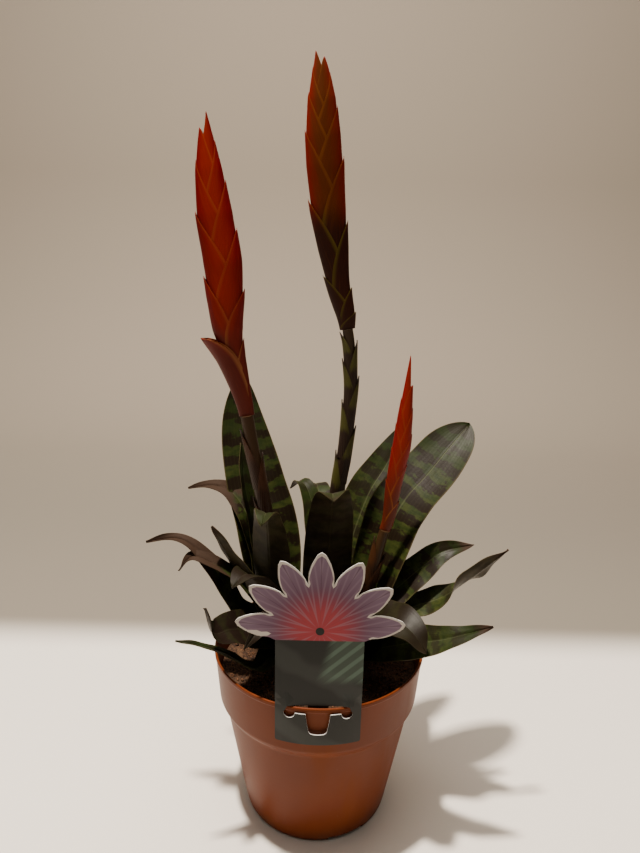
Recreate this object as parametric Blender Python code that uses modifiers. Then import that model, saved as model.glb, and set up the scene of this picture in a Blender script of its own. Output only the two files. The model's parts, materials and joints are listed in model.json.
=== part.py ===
"""Flaming sword bromeliad in its nursery pot, with the card clipped on the rim.

Origin: centre of the pot's underside. +Z is up, -Y faces the viewer, +X is the viewer's right.
Sizes below are in millimetres and turned into metres where the meshes are made.
"""

import math
import random

import bmesh
import bpy
import numpy as np

MM = 0.001
GAP = 0.3

POT_HEIGHT = 100.0
POT_RIM_RADIUS = 60.0
POT_COLLAR_RADIUS = 57.0
POT_COLLAR_Z = 70.0
POT_BODY_RADIUS = 54.0
POT_BASE_RADIUS = 42.0
POT_WALL = 1.3
POT_FLOOR_Z = 2.5
POT_FLOOR = 1.8
POT_FOOT_RADIUS = 12.0
POT_STEPS = 40
DRAIN_COUNT = 8
DRAIN_RADIUS = 3.5
DRAIN_CIRCLE = 25.0
NOTCH_ANGLES = (-65.0, 55.0, 175.0)
NOTCH_WIDTH = 30.0

SOIL_TOP = 85.0
CROWN_RADIUS = 9.7
CROWN_FOOT_Z = 76.0
CROWN_TOP_Z = 95.0
STALK_SOCKET_Z = 82.0

CARD_WIDTH = 43.0
CARD_THICK = 0.6
CARD_BOTTOM_Z = 80.0
CARD_SHOULDER_Z = 137.0
CARD_PLANE_Y = -57.9
CARD_WRAP_RADIUS = 60.8
SLIT_HALF = 15.5
SLIT_LOW_Z = 97.4
SLIT_HIGH_Z = 100.7
# Height, half-width and inward shift of the tongue that hangs behind the rim
TONGUE_ROWS = ((101.4, 5.2, 0.0), (100.6, 5.2, 0.15), (96.5, 5.0, 0.95), (91.5, 4.4, 1.6), (89.0, 3.2, 2.0))
FAN_CENTRE_Z = 142.0
FAN_LOBES = 7
FAN_REACH = 41.0
FAN_VALLEY = 25.0

SMALLEST_SHELL = 0.5

LEAF_THICK = 0.8
LEAF_STATIONS = (0.0, 0.1, 0.22, 0.36, 0.5, 0.64, 0.77, 0.88, 0.95, 1.0)

PEG_RADIUS = 1.6
PEG_LENGTH = 6.0
SWORD_FLATNESS = 0.42

# Where each plant stands in the soil, how its shoot leans per millimetre of height
PLANTS = {
    "left": ((-17.0, 0.0), (-0.13, 0.0)),
    "middle": ((1.0, 14.0), (0.07, -0.02)),
    "right": ((17.0, -2.0), (0.17, -0.01)),
}

# Each leaf: foot radius, widest half-width, turn of the blade in degrees, further turn of its outer
# part, how late it narrows to its tip, and the points its midline passes after it leaves the crown
LEAVES = {
    "left": [
        (8.4, 18.5, -26, 0, 5.0, (-31, 17, 158), (-40, 28, 188), (-48, 39, 220), (-50, 48, 248)),
        (7.2, 7.5, 0, 0, 4.5, (-38, 8, 165), (-44, 13, 190), (-47, 19, 213)),
        (8.8, 9.5, -10, -20, 3.0, (-39, 12, 160), (-50, 20, 180), (-63, 25, 185), (-80, 30, 181)),
        (9.0, 9.5, 35, 0, 4.0, (-36, -6, 130), (-50, -10, 157), (-59, -12, 175)),
        (8.0, 7.5, -45, 20, 2.6, (-46, -7, 124), (-56, -8, 144), (-67, -7, 158), (-79, -5, 164.5),
         (-97, -4, 161.5)),
        (8.9, 6.5, -20, 0, 4.5, (-38, -8, 134), (-48, -10, 146), (-59, -11, 153), (-70, -11, 157),
         (-78, -11, 148)),
        (9.0, 15.0, -45, 20, 1.9, (-38, -20, 118), (-47, -31, 125), (-54, -41, 129), (-57, -46, 146)),
        (9.2, 5.0, -20, 0, 2.4, (-34, -28, 100), (-49, -36, 114), (-62, -41, 122), (-73, -44, 126)),
        (8.9, 12.5, 0, 0, 5.0, (-28, -16, 128), (-33, -27, 150), (-38, -38, 161), (-43, -49, 159)),
        (8.6, 8.5, -30, 0, 3.0, (-21, -27, 130), (-25, -42, 139), (-31, -50, 136), (-37, -55, 129)),
        (7.6, 12.0, 0, 0, 4.5, (-27, -13, 150), (-28, -21, 178), (-28, -33, 192), (-29, -47, 191)),
        (9.2, 9.0, 0, 0, 4.5, (-20, 10, 100), (-26, 30, 112), (-33, 50, 118), (-38, 67, 111)),
    ],
    "middle": [
        (8.6, 14.5, 0, 0, 5.0, (4, 1, 150), (5, -6, 180), (5, -17, 197), (5, -34, 199)),
        (8.0, 9.0, 0, 0, 4.5, (-2, 22, 150), (-6, 29, 174), (-12, 37, 184), (-20, 46, 177)),
        (8.8, 15.0, 28, 0, 5.0, (16.5, 30, 142), (28, 42, 174), (40, 52, 192), (55, 64, 217)),
        (8.8, 11.0, 0, 0, 4.5, (1, 29, 130), (0, 44, 158), (-3, 64, 172), (-6, 84, 166)),
    ],
    "right": [
        (8.4, 17.5, 28, 0, 12.0, (29.5, 1.5, 131), (39, 8, 168), (48, 14, 184), (60, 20, 196),
         (72, 27, 209), (86, 36, 223)),
        (8.0, 12.5, 45, 0, 2.6, (35, -5, 128), (46, -3, 139), (58, -1, 149.5), (68, 1, 157), (86, 3, 161)),
        (8.8, 9.0, 30, -95, 4.5, (36, -7, 118), (52, -7, 127), (67, -9, 134), (77, -10, 143),
         (88, -12, 154), (101.5, -10, 164.5)),
        (9.2, 15.0, 45, 0, 1.4, (33, -16, 106), (48, -26, 116), (65, -34, 124), (88.5, -39, 135)),
        (8.6, 14.5, 40, -30, 4.0, (29, -20, 124), (40, -33, 133), (48, -41, 131), (54, -46, 123)),
        (8.4, 11.0, 0, 0, 4.5, (17, -16, 125), (14, -30, 145), (12, -44, 142), (11, -52, 130)),
        (9.2, 8.0, 0, 0, 4.5, (26, 6, 100), (38, 20, 112), (49, 35, 118), (58, 50, 111)),
    ],
}

STALK_LINES = {
    "left": [(-17, 0, 82.3), (-17.2, 0, 96), (-20.2, -0.6, 118), (-26, -1.4, 150), (-32, -2, 184),
             (-37, -2, 210), (-41, -2, 234)],
    "middle": [(1, 14, 82.3), (1.1, 14, 96), (3, 13.2, 122), (5.6, 12.4, 155), (9, 12, 191), (11.3, 12, 207),
               (12.8, 12, 225), (14, 12, 247), (12.6, 12, 270), (11.2, 12, 279)],
    "right": [(17, -2, 82.3), (17.2, -2, 96), (20.5, -3.2, 114), (26.3, -4.6, 136), (31.5, -5, 160),
              (34.4, -5, 172)],
}
STALK_RADII = {
    "left": [(82, 4.2), (180, 3.9), (234, 3.6)],
    "middle": [(82, 4.4), (190, 4.1), (225, 3.4), (279, 3.0)],
    "right": [(82, 4.2), (136, 3.8), (172, 2.9)],
}
# Sheath bracts on each stalk: height of the foot, length and the side it points to
SHEATHS = {
    "left": [(128, 38, 1), (152, 38, -1), (176, 38, 1), (194, 34, -1)],
    "middle": [(130, 38, -1), (152, 38, 1), (174, 38, -1), (193, 34, 1), (208, 33, -1), (221, 33, 1),
               (234, 30, -1), (244, 29, 1)],
    "right": [(112, 34, -1), (128, 32, 1), (140, 28, -1)],
}
SWORD_LINES = {
    "left": [(-47, -2, 264), (-50.5, -2, 279), (-51.5, -2, 295), (-52.8, -2, 313), (-56.3, -2, 335),
             (-59, -2, 360), (-60.4, -2, 381)],
    "middle": [(5.3, 12, 304), (-0.5, 12, 339), (-3.7, 12, 371), (-5, 12, 391), (-6, 12, 405),
               (-7.2, 12, 413)],
    "right": [(38.5, -5, 202), (41, -5, 219), (42, -5, 235), (43, -5, 253), (44.2, -5, 269)],
}
SWORD_HALF_WIDTHS = {
    "left": [(234, 4.6), (250, 5.0), (264, 5.6), (271, 6.4), (279, 8.0), (295, 9.4), (312, 9.9),
             (335, 8.9), (355, 6.4), (369, 3.6), (381, 0.8)],
    "middle": [(279, 4.6), (290, 5.6), (306, 6.6), (320, 8.0), (339, 9.2), (360, 9.4), (375, 8.6),
               (391, 6.6), (404, 3.6), (413, 0.9)],
    "right": [(172, 3.4), (187, 3.9), (202, 4.4), (219, 4.8), (235, 3.9), (253, 2.0), (269, 0.7)],
}
# Sword bracts: height of the tip, length, side
SWORD_BRACTS = {
    "left": [(273, 36, 1), (277, 41, -1), (299, 50, 1), (306, 52, -1), (327, 54, 1), (337, 54, -1),
             (350, 52, 1), (360, 50, -1), (368, 46, 1), (374, 46, -1), (381, 42, 1)],
    "middle": [(287, 30, 1), (299.5, 36, 1), (308, 38, -1), (333, 50, 1), (345, 52, -1), (364, 54, 1),
               (377, 52, -1), (387.5, 48, 1), (394, 46, -1), (402, 42, 1), (405, 40, -1), (409, 36, 1),
               (412, 36, -1)],
    "right": [(190, 24, 1), (201, 30, -1), (211, 34, 1), (219, 36, -1), (227, 36, 1), (232.5, 38, -1),
              (241, 36, 1), (246, 36, -1), (253, 36, 1), (268, 40, -1)],
}


def clear_scene():
    for obj in list(bpy.data.objects):
        bpy.data.objects.remove(obj)
    for collection in list(bpy.data.collections):
        bpy.data.collections.remove(collection)


def new_collection(name):
    collection = bpy.data.collections.new(name)
    bpy.context.scene.collection.children.link(collection)
    return collection


def material(name, colour, roughness):
    made = bpy.data.materials.new(name)
    made.use_nodes = True
    shader = made.node_tree.nodes["Principled BSDF"]
    shader.inputs["Base Color"].default_value = (*colour, 1.0)
    shader.inputs["Roughness"].default_value = roughness
    made.diffuse_color = (*colour, 1.0)
    return made


def mesh_object(name, points, faces, collection):
    """A mesh object from points in millimetres, with its faces turned outward."""
    mesh = bpy.data.meshes.new(name)
    mesh.from_pydata([tuple(c * MM for c in point) for point in points], [], faces)
    work = bmesh.new()
    work.from_mesh(mesh)
    bmesh.ops.recalc_face_normals(work, faces=work.faces)
    work.to_mesh(mesh)
    work.free()
    obj = bpy.data.objects.new(name, mesh)
    collection.objects.link(obj)
    return obj


def unit(vector):
    return vector / np.linalg.norm(vector)


class Path:
    """A smooth line through hand-placed points, read by its share of the length or by height."""

    def __init__(self, points):
        marks = [np.array(point, float) for point in points]
        marks = [2 * marks[0] - marks[1]] + marks + [2 * marks[-1] - marks[-2]]
        dense = []
        for i in range(1, len(marks) - 2):
            a, b, c, d = marks[i - 1 : i + 3]
            for k in range(16):
                t = k / 16
                dense.append(
                    0.5 * (2 * b + (c - a) * t + (2 * a - 5 * b + 4 * c - d) * t**2
                           + (3 * b - a - 3 * c + d) * t**3)
                )
        dense.append(marks[-2])
        self.points = np.array(dense)
        steps = np.linalg.norm(np.diff(self.points, axis=0), axis=1)
        self.lengths = np.concatenate([[0.0], np.cumsum(steps)])
        self.length = self.lengths[-1]

    def at(self, distance):
        """Position and direction at a distance from the foot, straight on past either end."""
        inside = min(max(distance, 0.0), self.length)
        place = np.array([np.interp(inside, self.lengths, self.points[:, k]) for k in range(3)])
        low = max(inside - 2.0, 0.0)
        high = min(inside + 2.0, self.length)
        ends = [
            np.array([np.interp(s, self.lengths, self.points[:, k]) for k in range(3)])
            for s in (low, high)
        ]
        direction = unit(ends[1] - ends[0])
        return place + direction * (distance - inside), direction

    def distance_at_height(self, height):
        return float(np.interp(height, self.points[:, 2], self.lengths))


def by_height(pairs, height):
    return float(np.interp(height, [pair[0] for pair in pairs], [pair[1] for pair in pairs]))


def shell(name, outer, inner, collection):
    """Closes two matching grids of points into one thin solid, both faces cut into triangles alike."""
    rows = len(outer)
    columns = len(outer[0])
    points = [point for row in outer for point in row] + [point for row in inner for point in row]
    back = rows * columns
    faces = []
    for i in range(rows - 1):
        for j in range(columns - 1):
            a = i * columns + j
            b = a + 1
            c = a + columns + 1
            d = a + columns
            faces += [(a, b, c), (a, c, d), (back + a, back + c, back + b), (back + a, back + d, back + c)]
    edge = [j for j in range(columns)]
    edge += [i * columns + columns - 1 for i in range(1, rows)]
    edge += [(rows - 1) * columns + j for j in range(columns - 2, -1, -1)]
    edge += [i * columns for i in range(rows - 2, 0, -1)]
    for k, a in enumerate(edge):
        b = edge[(k + 1) % len(edge)]
        faces += [(a, back + a, back + b), (a, back + b, b)]
    return mesh_object(name, points, faces, collection)


def drop_small_shells(mesh):
    """Removes slivers, and the inward-facing shells that enclose a sealed pocket between joined pieces."""
    work = bmesh.new()
    work.from_mesh(mesh)
    unseen = set(work.faces)
    dropped = []
    while unseen:
        shell_faces = {unseen.pop()}
        border = set(shell_faces)
        while border:
            border = {near for face in border for edge in face.edges for near in edge.link_faces} - shell_faces
            shell_faces |= border
        unseen -= shell_faces
        volume = 0.0
        for face in shell_faces:
            first = face.verts[0].co
            for one, two in zip(face.verts[1:-1], face.verts[2:]):
                volume += first.dot(one.co.cross(two.co)) / 6
        if volume < SMALLEST_SHELL * MM**3:
            dropped += list(shell_faces)
    bmesh.ops.delete(work, geom=dropped, context="FACES")
    work.to_mesh(mesh)
    work.free()


def fuse(name, core, pieces, solver):
    """Joins the pieces to the core in one Boolean, applies it and removes the pieces."""
    join = core.modifiers.new("join", "BOOLEAN")
    join.operation = "UNION"
    join.operand_type = "COLLECTION"
    join.collection = pieces
    join.solver = solver
    bpy.context.view_layer.update()
    graph = bpy.context.evaluated_depsgraph_get()
    fused = bpy.data.meshes.new_from_object(core.evaluated_get(graph))
    core.modifiers.clear()
    drop_small_shells(fused)
    core.data = fused
    core.data.name = name
    for piece in list(pieces.objects):
        bpy.data.objects.remove(piece)
    bpy.data.collections.remove(pieces)


def cylinder(name, radius, low, high, centre, sides, collection):
    points = []
    for z in (low, high):
        for k in range(sides):
            angle = 2 * math.pi * (k + 0.5) / sides
            points.append((centre[0] + radius * math.cos(angle), centre[1] + radius * math.sin(angle), z))
    faces = [tuple(range(sides)), tuple(range(sides, 2 * sides))]
    faces += [(k, (k + 1) % sides, sides + (k + 1) % sides, sides + k) for k in range(sides)]
    return mesh_object(name, points, faces, collection)


def cut(obj, cutters):
    """Takes a collection of cutters out of an object."""
    modifier = obj.modifiers.new("cut", "BOOLEAN")
    modifier.operation = "DIFFERENCE"
    modifier.operand_type = "COLLECTION"
    modifier.collection = cutters
    modifier.solver = "EXACT"


def cut_and_apply(obj, cutters):
    """Cuts a fused object at once and clears any pocket that the cut closes off."""
    cut(obj, cutters)
    bpy.context.view_layer.update()
    graph = bpy.context.evaluated_depsgraph_get()
    mesh = bpy.data.meshes.new_from_object(obj.evaluated_get(graph))
    obj.modifiers.clear()
    drop_small_shells(mesh)
    mesh.name = obj.name
    obj.data = mesh


def cutter_collection(name):
    collection = new_collection(name)
    collection.hide_render = True
    return collection


def hide_cutters(collection):
    for obj in collection.objects:
        obj.hide_render = True
        obj.display_type = "WIRE"


def screw(name, profile, steps, collection):
    """A solid turned about Z from an open profile whose two ends lie on the axis."""
    mesh = bpy.data.meshes.new(name)
    points = [(radius * MM, 0.0, z * MM) for radius, z in profile]
    mesh.from_pydata(points, [(k, k + 1) for k in range(len(points) - 1)], [])
    obj = bpy.data.objects.new(name, mesh)
    collection.objects.link(obj)
    turn = obj.modifiers.new("turn", "SCREW")
    turn.axis = "Z"
    turn.steps = steps
    turn.render_steps = steps
    turn.use_merge_vertices = True
    turn.merge_threshold = 0.00005
    return obj


def build_pot(assembly):
    base_inner = POT_BASE_RADIUS - POT_WALL
    profile = [
        (0.0, POT_FLOOR_Z + POT_FLOOR),
        (base_inner - 2.0, POT_FLOOR_Z + POT_FLOOR),
        (base_inner, POT_FLOOR_Z + POT_FLOOR + 1.5),
        (POT_BODY_RADIUS - POT_WALL, POT_COLLAR_Z - 3.0),
        (POT_COLLAR_RADIUS - POT_WALL, POT_COLLAR_Z + 1.0),
        (POT_RIM_RADIUS - POT_WALL - 0.6, POT_HEIGHT - 3.5),
        (POT_RIM_RADIUS - POT_WALL, POT_HEIGHT - 0.5),
        (POT_RIM_RADIUS - POT_WALL + 0.4, POT_HEIGHT),
        (POT_RIM_RADIUS - 0.4, POT_HEIGHT),
        (POT_RIM_RADIUS, POT_HEIGHT - 0.4),
        (POT_RIM_RADIUS, POT_HEIGHT - 2.2),
        (POT_RIM_RADIUS - 0.5, POT_HEIGHT - 2.8),
        (POT_COLLAR_RADIUS + 0.3, POT_COLLAR_Z + 2.0),
        (POT_COLLAR_RADIUS - 0.6, POT_COLLAR_Z),
        (POT_BODY_RADIUS + 0.3, POT_COLLAR_Z - 2.6),
        (POT_BODY_RADIUS - 0.2, POT_COLLAR_Z - 4.2),
        (POT_BASE_RADIUS + 0.6, 4.0),
        (POT_BASE_RADIUS, 1.4),
        (POT_BASE_RADIUS - 0.8, 0.2),
        (POT_BASE_RADIUS - 1.4, 0.0),
        (POT_BASE_RADIUS - 4.6, 0.0),
        (POT_BASE_RADIUS - 5.4, POT_FLOOR_Z),
        (POT_FOOT_RADIUS + 0.6, POT_FLOOR_Z),
        (POT_FOOT_RADIUS, 0.0),
        (0.0, 0.0),
    ]
    pot = screw("pot", profile, POT_STEPS, assembly)
    cutters = cutter_collection("pot cutters")
    for k in range(DRAIN_COUNT):
        angle = 2 * math.pi * k / DRAIN_COUNT
        centre = (DRAIN_CIRCLE * math.cos(angle), DRAIN_CIRCLE * math.sin(angle))
        cylinder("drain_cutter", DRAIN_RADIUS, -2.0, POT_FLOOR_Z + POT_FLOOR + 2.0, centre, 12, cutters)
    for middle in NOTCH_ANGLES:
        points = []
        for z in (-2.0, POT_FLOOR_Z):
            for radius in (POT_BASE_RADIUS - 9.0, POT_BASE_RADIUS + 6.0):
                for k in range(5):
                    angle = math.radians(middle + NOTCH_WIDTH * (k / 4 - 0.5))
                    points.append((radius * math.cos(angle), radius * math.sin(angle), z))
        faces = []
        for k in range(4):
            faces += [(k, k + 1, k + 6, k + 5), (k + 10, k + 11, k + 16, k + 15)]
            faces += [(k, k + 1, k + 11, k + 10), (k + 5, k + 6, k + 16, k + 15)]
        faces += [(0, 5, 15, 10), (4, 9, 19, 14)]
        mesh_object("notch_cutter", points, faces, cutters)
    hide_cutters(cutters)
    cut(pot, cutters)
    return pot


def build_soil(assembly):
    """The compost, a hair clear of the pot, with a slightly uneven top and one hole for each shoot."""
    clear = POT_WALL + GAP
    low = POT_FLOOR_Z + POT_FLOOR + GAP
    top_share = (SOIL_TOP - POT_COLLAR_Z) / (POT_HEIGHT - POT_COLLAR_Z)
    edge = POT_COLLAR_RADIUS + top_share * (POT_RIM_RADIUS - 0.6 - POT_COLLAR_RADIUS) - clear - 0.2
    profile = [
        (0.0, SOIL_TOP), (14.0, SOIL_TOP), (28.0, SOIL_TOP), (40.0, SOIL_TOP), (49.0, SOIL_TOP),
        (edge - 1.0, SOIL_TOP - 0.6),
        (edge, SOIL_TOP - 2.2),
        (POT_COLLAR_RADIUS - clear - 0.2, POT_COLLAR_Z + 1.5),
        (POT_BODY_RADIUS - clear - 0.1, POT_COLLAR_Z - 3.2),
        (POT_BASE_RADIUS - clear - 0.1, low + 2.0),
        (POT_BASE_RADIUS - clear - 2.6, low),
        (0.0, low),
    ]
    soil = screw("soil", profile, 32, assembly)
    bpy.context.view_layer.update()
    graph = bpy.context.evaluated_depsgraph_get()
    mesh = bpy.data.meshes.new_from_object(soil.evaluated_get(graph))
    soil.modifiers.clear()
    soil.data = mesh
    for vertex in mesh.vertices:
        x = vertex.co.x / MM
        y = vertex.co.y / MM
        if vertex.co.z / MM > SOIL_TOP - 0.3:
            vertex.co.z += MM * (0.7 * math.sin(0.21 * x + 1.0) + 0.6 * math.sin(0.17 * y + 0.13 * x))
    work = bmesh.new()
    work.from_mesh(mesh)
    bmesh.ops.remove_doubles(work, verts=work.verts, dist=0.00001)
    bmesh.ops.recalc_face_normals(work, faces=work.faces)
    bmesh.ops.triangulate(work, faces=work.faces)
    work.to_mesh(mesh)
    work.free()
    cutters = cutter_collection("soil cutters")
    for centre, _ in PLANTS.values():
        cylinder("shoot_hole", CROWN_RADIUS + GAP, CROWN_FOOT_Z - GAP, SOIL_TOP + 8, centre, 20, cutters)
    hide_cutters(cutters)
    cut(soil, cutters)
    return soil


def card_outline():
    """Corners of the card: a strip whose top opens into a symmetrical fan of pointed shapes."""
    half = CARD_WIDTH / 2
    outline = [(-half + 1, CARD_BOTTOM_Z), (half - 1, CARD_BOTTOM_Z), (half, CARD_BOTTOM_Z + 1),
               (half, CARD_SHOULDER_Z)]
    first = 6.0
    spread = (180.0 - 2 * first) / (FAN_LOBES - 1)
    for lobe in range(FAN_LOBES):
        for share in (-0.5, -0.42, -0.27, -0.1, 0.0, 0.1, 0.27, 0.42):
            angle = math.radians(first + spread * (lobe + share))
            reach = {0.5: 0.0, 0.42: 0.3, 0.27: 0.62, 0.1: 0.92, 0.0: 1.0}[abs(share)]
            radius = FAN_VALLEY + (FAN_REACH - FAN_VALLEY) * reach
            outline.append((radius * math.cos(angle), FAN_CENTRE_Z + radius * math.sin(angle)))
    outline.append((-outline[4][0], outline[4][1]))
    outline.append((-half, CARD_SHOULDER_Z))
    outline.append((-half, CARD_BOTTOM_Z + 1))
    return outline


def card_opening():
    """The slit for the rim, round at both ends, with the cut around the tongue below it."""
    right = [(SLIT_HALF + 1.2, 98.0), (SLIT_HALF + 1.6, 96.6), (SLIT_HALF + 0.9, 95.2), (SLIT_HALF - 0.5, 94.5),
             (SLIT_HALF - 2.1, 94.6), (SLIT_HALF - 3.4, 95.6), (SLIT_HALF - 4.0, SLIT_LOW_Z)]
    tongue_gap = [(6.2, SLIT_LOW_Z), (5.4, 92.0), (4.6, 87.6), (3.2, 86.2), (0.0, 85.8)]
    half = [(SLIT_HALF, SLIT_HIGH_Z)] + right + tongue_gap
    return half + [(-x, z) for x, z in reversed(half[:-1])]


def build_card(assembly):
    """One sheet of card, bent so that its lower part lies outside the rim and its tongue inside."""
    curve = bpy.data.curves.new("card outline", "CURVE")
    curve.dimensions = "2D"
    curve.fill_mode = "BOTH"
    curve.extrude = CARD_THICK / 2 * MM
    for loop in (card_outline(), card_opening()):
        spline = curve.splines.new("POLY")
        spline.points.add(len(loop) - 1)
        for point, (x, z) in zip(spline.points, loop):
            point.co = (x * MM, z * MM, 0.0, 1.0)
        spline.use_cyclic_u = True
    flat = bpy.data.objects.new("card flat", curve)
    bpy.context.scene.collection.objects.link(flat)
    bpy.context.view_layer.update()
    graph = bpy.context.evaluated_depsgraph_get()
    mesh = bpy.data.meshes.new_from_object(flat.evaluated_get(graph))
    bpy.data.objects.remove(flat)
    work = bmesh.new()
    work.from_mesh(mesh)
    bmesh.ops.remove_doubles(work, verts=work.verts, dist=0.00001)
    for z in (SLIT_LOW_Z, 100.7, 108.0):
        parts = list(work.verts) + list(work.edges) + list(work.faces)
        bmesh.ops.bisect_plane(work, geom=parts, plane_co=(0, z * MM, 0), plane_no=(0, 1, 0), dist=0.000001)
    for x in (-18.0, -9.0, 0.0, 9.0, 18.0):
        faces = [face for face in work.faces if max(v.co.y for v in face.verts) < 108.01 * MM]
        edges = {edge for face in faces for edge in face.edges}
        verts = {vertex for face in faces for vertex in face.verts}
        parts = list(verts) + list(edges) + faces
        bmesh.ops.bisect_plane(work, geom=parts, plane_co=(x * MM, 0, 0), plane_no=(1, 0, 0), dist=0.000001)
    bmesh.ops.triangulate(work, faces=work.faces)
    for vertex in work.verts:
        x = vertex.co.x / MM
        z = vertex.co.y / MM
        layer = vertex.co.z / MM
        y = CARD_PLANE_Y + card_bend(x, z)
        vertex.co = (x * MM, (y - layer) * MM, z * MM)
    bmesh.ops.recalc_face_normals(work, faces=work.faces)
    work.to_mesh(mesh)
    work.free()
    card = bpy.data.objects.new("label_card", mesh)
    assembly.objects.link(card)
    return card


def card_bend(x, z):
    """How far the sheet is moved from its flat plane at a point: outside the rim, or inside for the tongue."""
    wrapped = -math.sqrt(CARD_WRAP_RADIUS**2 - min(abs(x), 30.0) ** 2) - CARD_PLANE_Y
    if z <= SLIT_LOW_Z + 0.01:
        return wrapped
    beside = min(max((abs(x) - 12.0) / 3.5, 0.0), 1.0)
    height = min(max((108.0 - z) / 7.3, 0.0), 1.0)
    return wrapped * beside * height


def build_tongue(pieces):
    """The tongue of the card, pushed down behind the rim."""
    outer = []
    inner = []
    for z, half, inward in TONGUE_ROWS:
        outer.append([(x * half, CARD_PLANE_Y - CARD_THICK / 2 + inward, z) for x in (-1.0, -0.5, 0.0, 0.5, 1.0)])
        inner.append([(x * half, CARD_PLANE_Y + CARD_THICK / 2 + inward, z) for x in (-1.0, -0.5, 0.0, 0.5, 1.0)])
    return shell("tongue", outer, inner, pieces)


def leaf_line(plant, leaf):
    """The midline of a leaf: up its sheath along the leaning shoot, then out through its own points."""
    (cx, cy), (lean_x, lean_y) = PLANTS[plant]
    radius = leaf[0]
    marks = leaf[5:]
    near_end = np.array((marks[0][0] - cx, marks[0][1] - cy))
    far_end = np.array((marks[-1][0] - cx, marks[-1][1] - cy))
    outward = unit(near_end * 0.6 + far_end * 0.4)
    start_z = CROWN_FOOT_Z + 8
    near = max(0.0, min(1.0, (marks[0][2] - 95.0) / 25.0))
    collar_z = start_z + 9 + 13 * near
    rise = collar_z - start_z
    foot = (cx + radius * outward[0], cy + radius * outward[1], start_z)
    collar = (
        cx + lean_x * rise + (radius + 0.6) * outward[0],
        cy + lean_y * rise + (radius + 0.6) * outward[1],
        collar_z,
    )
    return Path([foot, collar, *marks]), outward


def leaf_blade(name, plant, leaf, wave, pieces):
    """A strap leaf: its foot wraps the shoot, its blade opens nearly flat and ends in a point."""
    path, outward = leaf_line(plant, leaf)
    radius, widest, twist, swirl, late = leaf[:5]
    outer = []
    inner = []
    for share in LEAF_STATIONS:
        place, direction = path.at(share * path.length)
        across = np.array((-outward[1], outward[0], 0.0))
        across = unit(across - direction * across.dot(direction))
        up = np.cross(direction, across)
        outer_part = min(max((share - 0.5) / 0.4, 0.0), 1.0)
        turn = math.radians(twist * min(share / 0.6, 1.0) + swirl * outer_part**2 * (3 - 2 * outer_part))
        across, up = across * math.cos(turn) + up * math.sin(turn), up * math.cos(turn) - across * math.sin(turn)
        open_share = min(share / 0.45, 1.0)
        bend = 1.2 * (1 - open_share) ** 1.5 + 0.32
        foot_half = radius * 1.3
        half = foot_half + (widest - foot_half) * (0.5 - 0.5 * math.cos(math.pi * open_share))
        half = max(half * (1 - share**late) ** 0.75, 1.1)
        top = []
        under = []
        for a in (-1.0, -0.5, 0.0, 0.5, 1.0):
            angle = bend * a
            surface = place + across * (half / bend) * math.sin(angle) + up * (half / bend) * (1 - math.cos(angle))
            surface = surface + up * (wave * math.sin(11 * share + 5 * a) * a * a * open_share)
            normal = up * math.cos(angle) - across * math.sin(angle)
            top.append(surface + normal * LEAF_THICK / 2)
            under.append(surface - normal * LEAF_THICK / 2)
        outer.append(top)
        inner.append(under)
    return shell(name, outer, inner, pieces)


def build_rosette(plant, assembly):
    """One shoot: its crown stands in the soil and every leaf grows from it."""
    centre = PLANTS[plant][0]
    crown = cylinder(f"rosette_{plant}", CROWN_RADIUS, CROWN_FOOT_Z, CROWN_TOP_Z, centre, 20, assembly)
    pieces = new_collection(f"leaves of {plant}")
    rng = random.Random(plant)
    for number, leaf in enumerate(LEAVES[plant]):
        leaf_blade(f"leaf_{number}", plant, leaf, rng.uniform(0.5, 1.0), pieces)
    fuse(crown.name, crown, pieces, "MANIFOLD")
    cutters = cutter_collection(f"{plant} shoot cutter")
    cylinder("stalk_hole", 5.3, STALK_SOCKET_Z, CROWN_TOP_Z + 3, centre, 16, cutters)
    hide_cutters(cutters)
    cut_and_apply(crown, cutters)
    return crown


def bract_raise(bracts, path, distance, angle):
    """How much of a bract's thickness shows at a point of the surface: full at a tip, none at its foot."""
    shown = 0.0
    for tip, length, side in bracts:
        u = (distance - path.distance_at_height(tip)) / length + 1.0
        if not 0.0 <= u <= 1.0:
            continue
        turned = abs(angle if side > 0 else math.pi - abs(angle))
        reach = 0.92 * math.pi * (1 - u**1.5) ** 0.8 + 0.1
        if turned < reach:
            shown = max(shown, 0.25 + 0.75 * u)
    return shown


def scaled_rings(path, half_at, flat, step, bracts, low, high, sides):
    """Rings round a path whose surface steps out along every bract and back in past its tip."""
    start = path.distance_at_height(low)
    end = path.distance_at_height(high)
    marks = {start, end}
    for tip, _, _ in bracts:
        at_tip = path.distance_at_height(tip)
        marks |= {at_tip - 0.3, at_tip + 0.5}
    marks = sorted(mark for mark in marks if start <= mark <= end)
    filled = [marks[0]]
    for mark in marks[1:]:
        gap = mark - filled[-1]
        if gap < 0.4:
            continue
        extra = int(gap // 9.0)
        filled += [filled[-1] + gap * (k + 1) / (extra + 1) for k in range(extra)] + [mark]
    rings = []
    for distance in filled:
        place, direction = path.at(distance)
        across = unit(np.cross(direction, (0, -1, 0)))
        front = np.cross(across, direction)
        half = half_at(place[2])
        ring = []
        for k in range(sides):
            angle = math.pi * (2 * k / sides - 1)
            out = bract_raise(bracts, path, distance, angle) * step
            wide = max(half - step, 0.35) + out
            deep = max((half - step) * flat, 0.35) + out
            ring.append(place + across * wide * math.cos(angle) + front * deep * math.sin(angle))
        rings.append(ring)
    return rings


def round_ring(path, distance, radius, sides):
    """A plain round ring across a path, its points in the same order as those of scaled_rings."""
    place, direction = path.at(distance)
    across = unit(np.cross(direction, (0, -1, 0)))
    front = np.cross(across, direction)
    angles = [math.pi * (2 * k / sides - 1) for k in range(sides)]
    return [place + radius * (across * math.cos(angle) + front * math.sin(angle)) for angle in angles]


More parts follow.
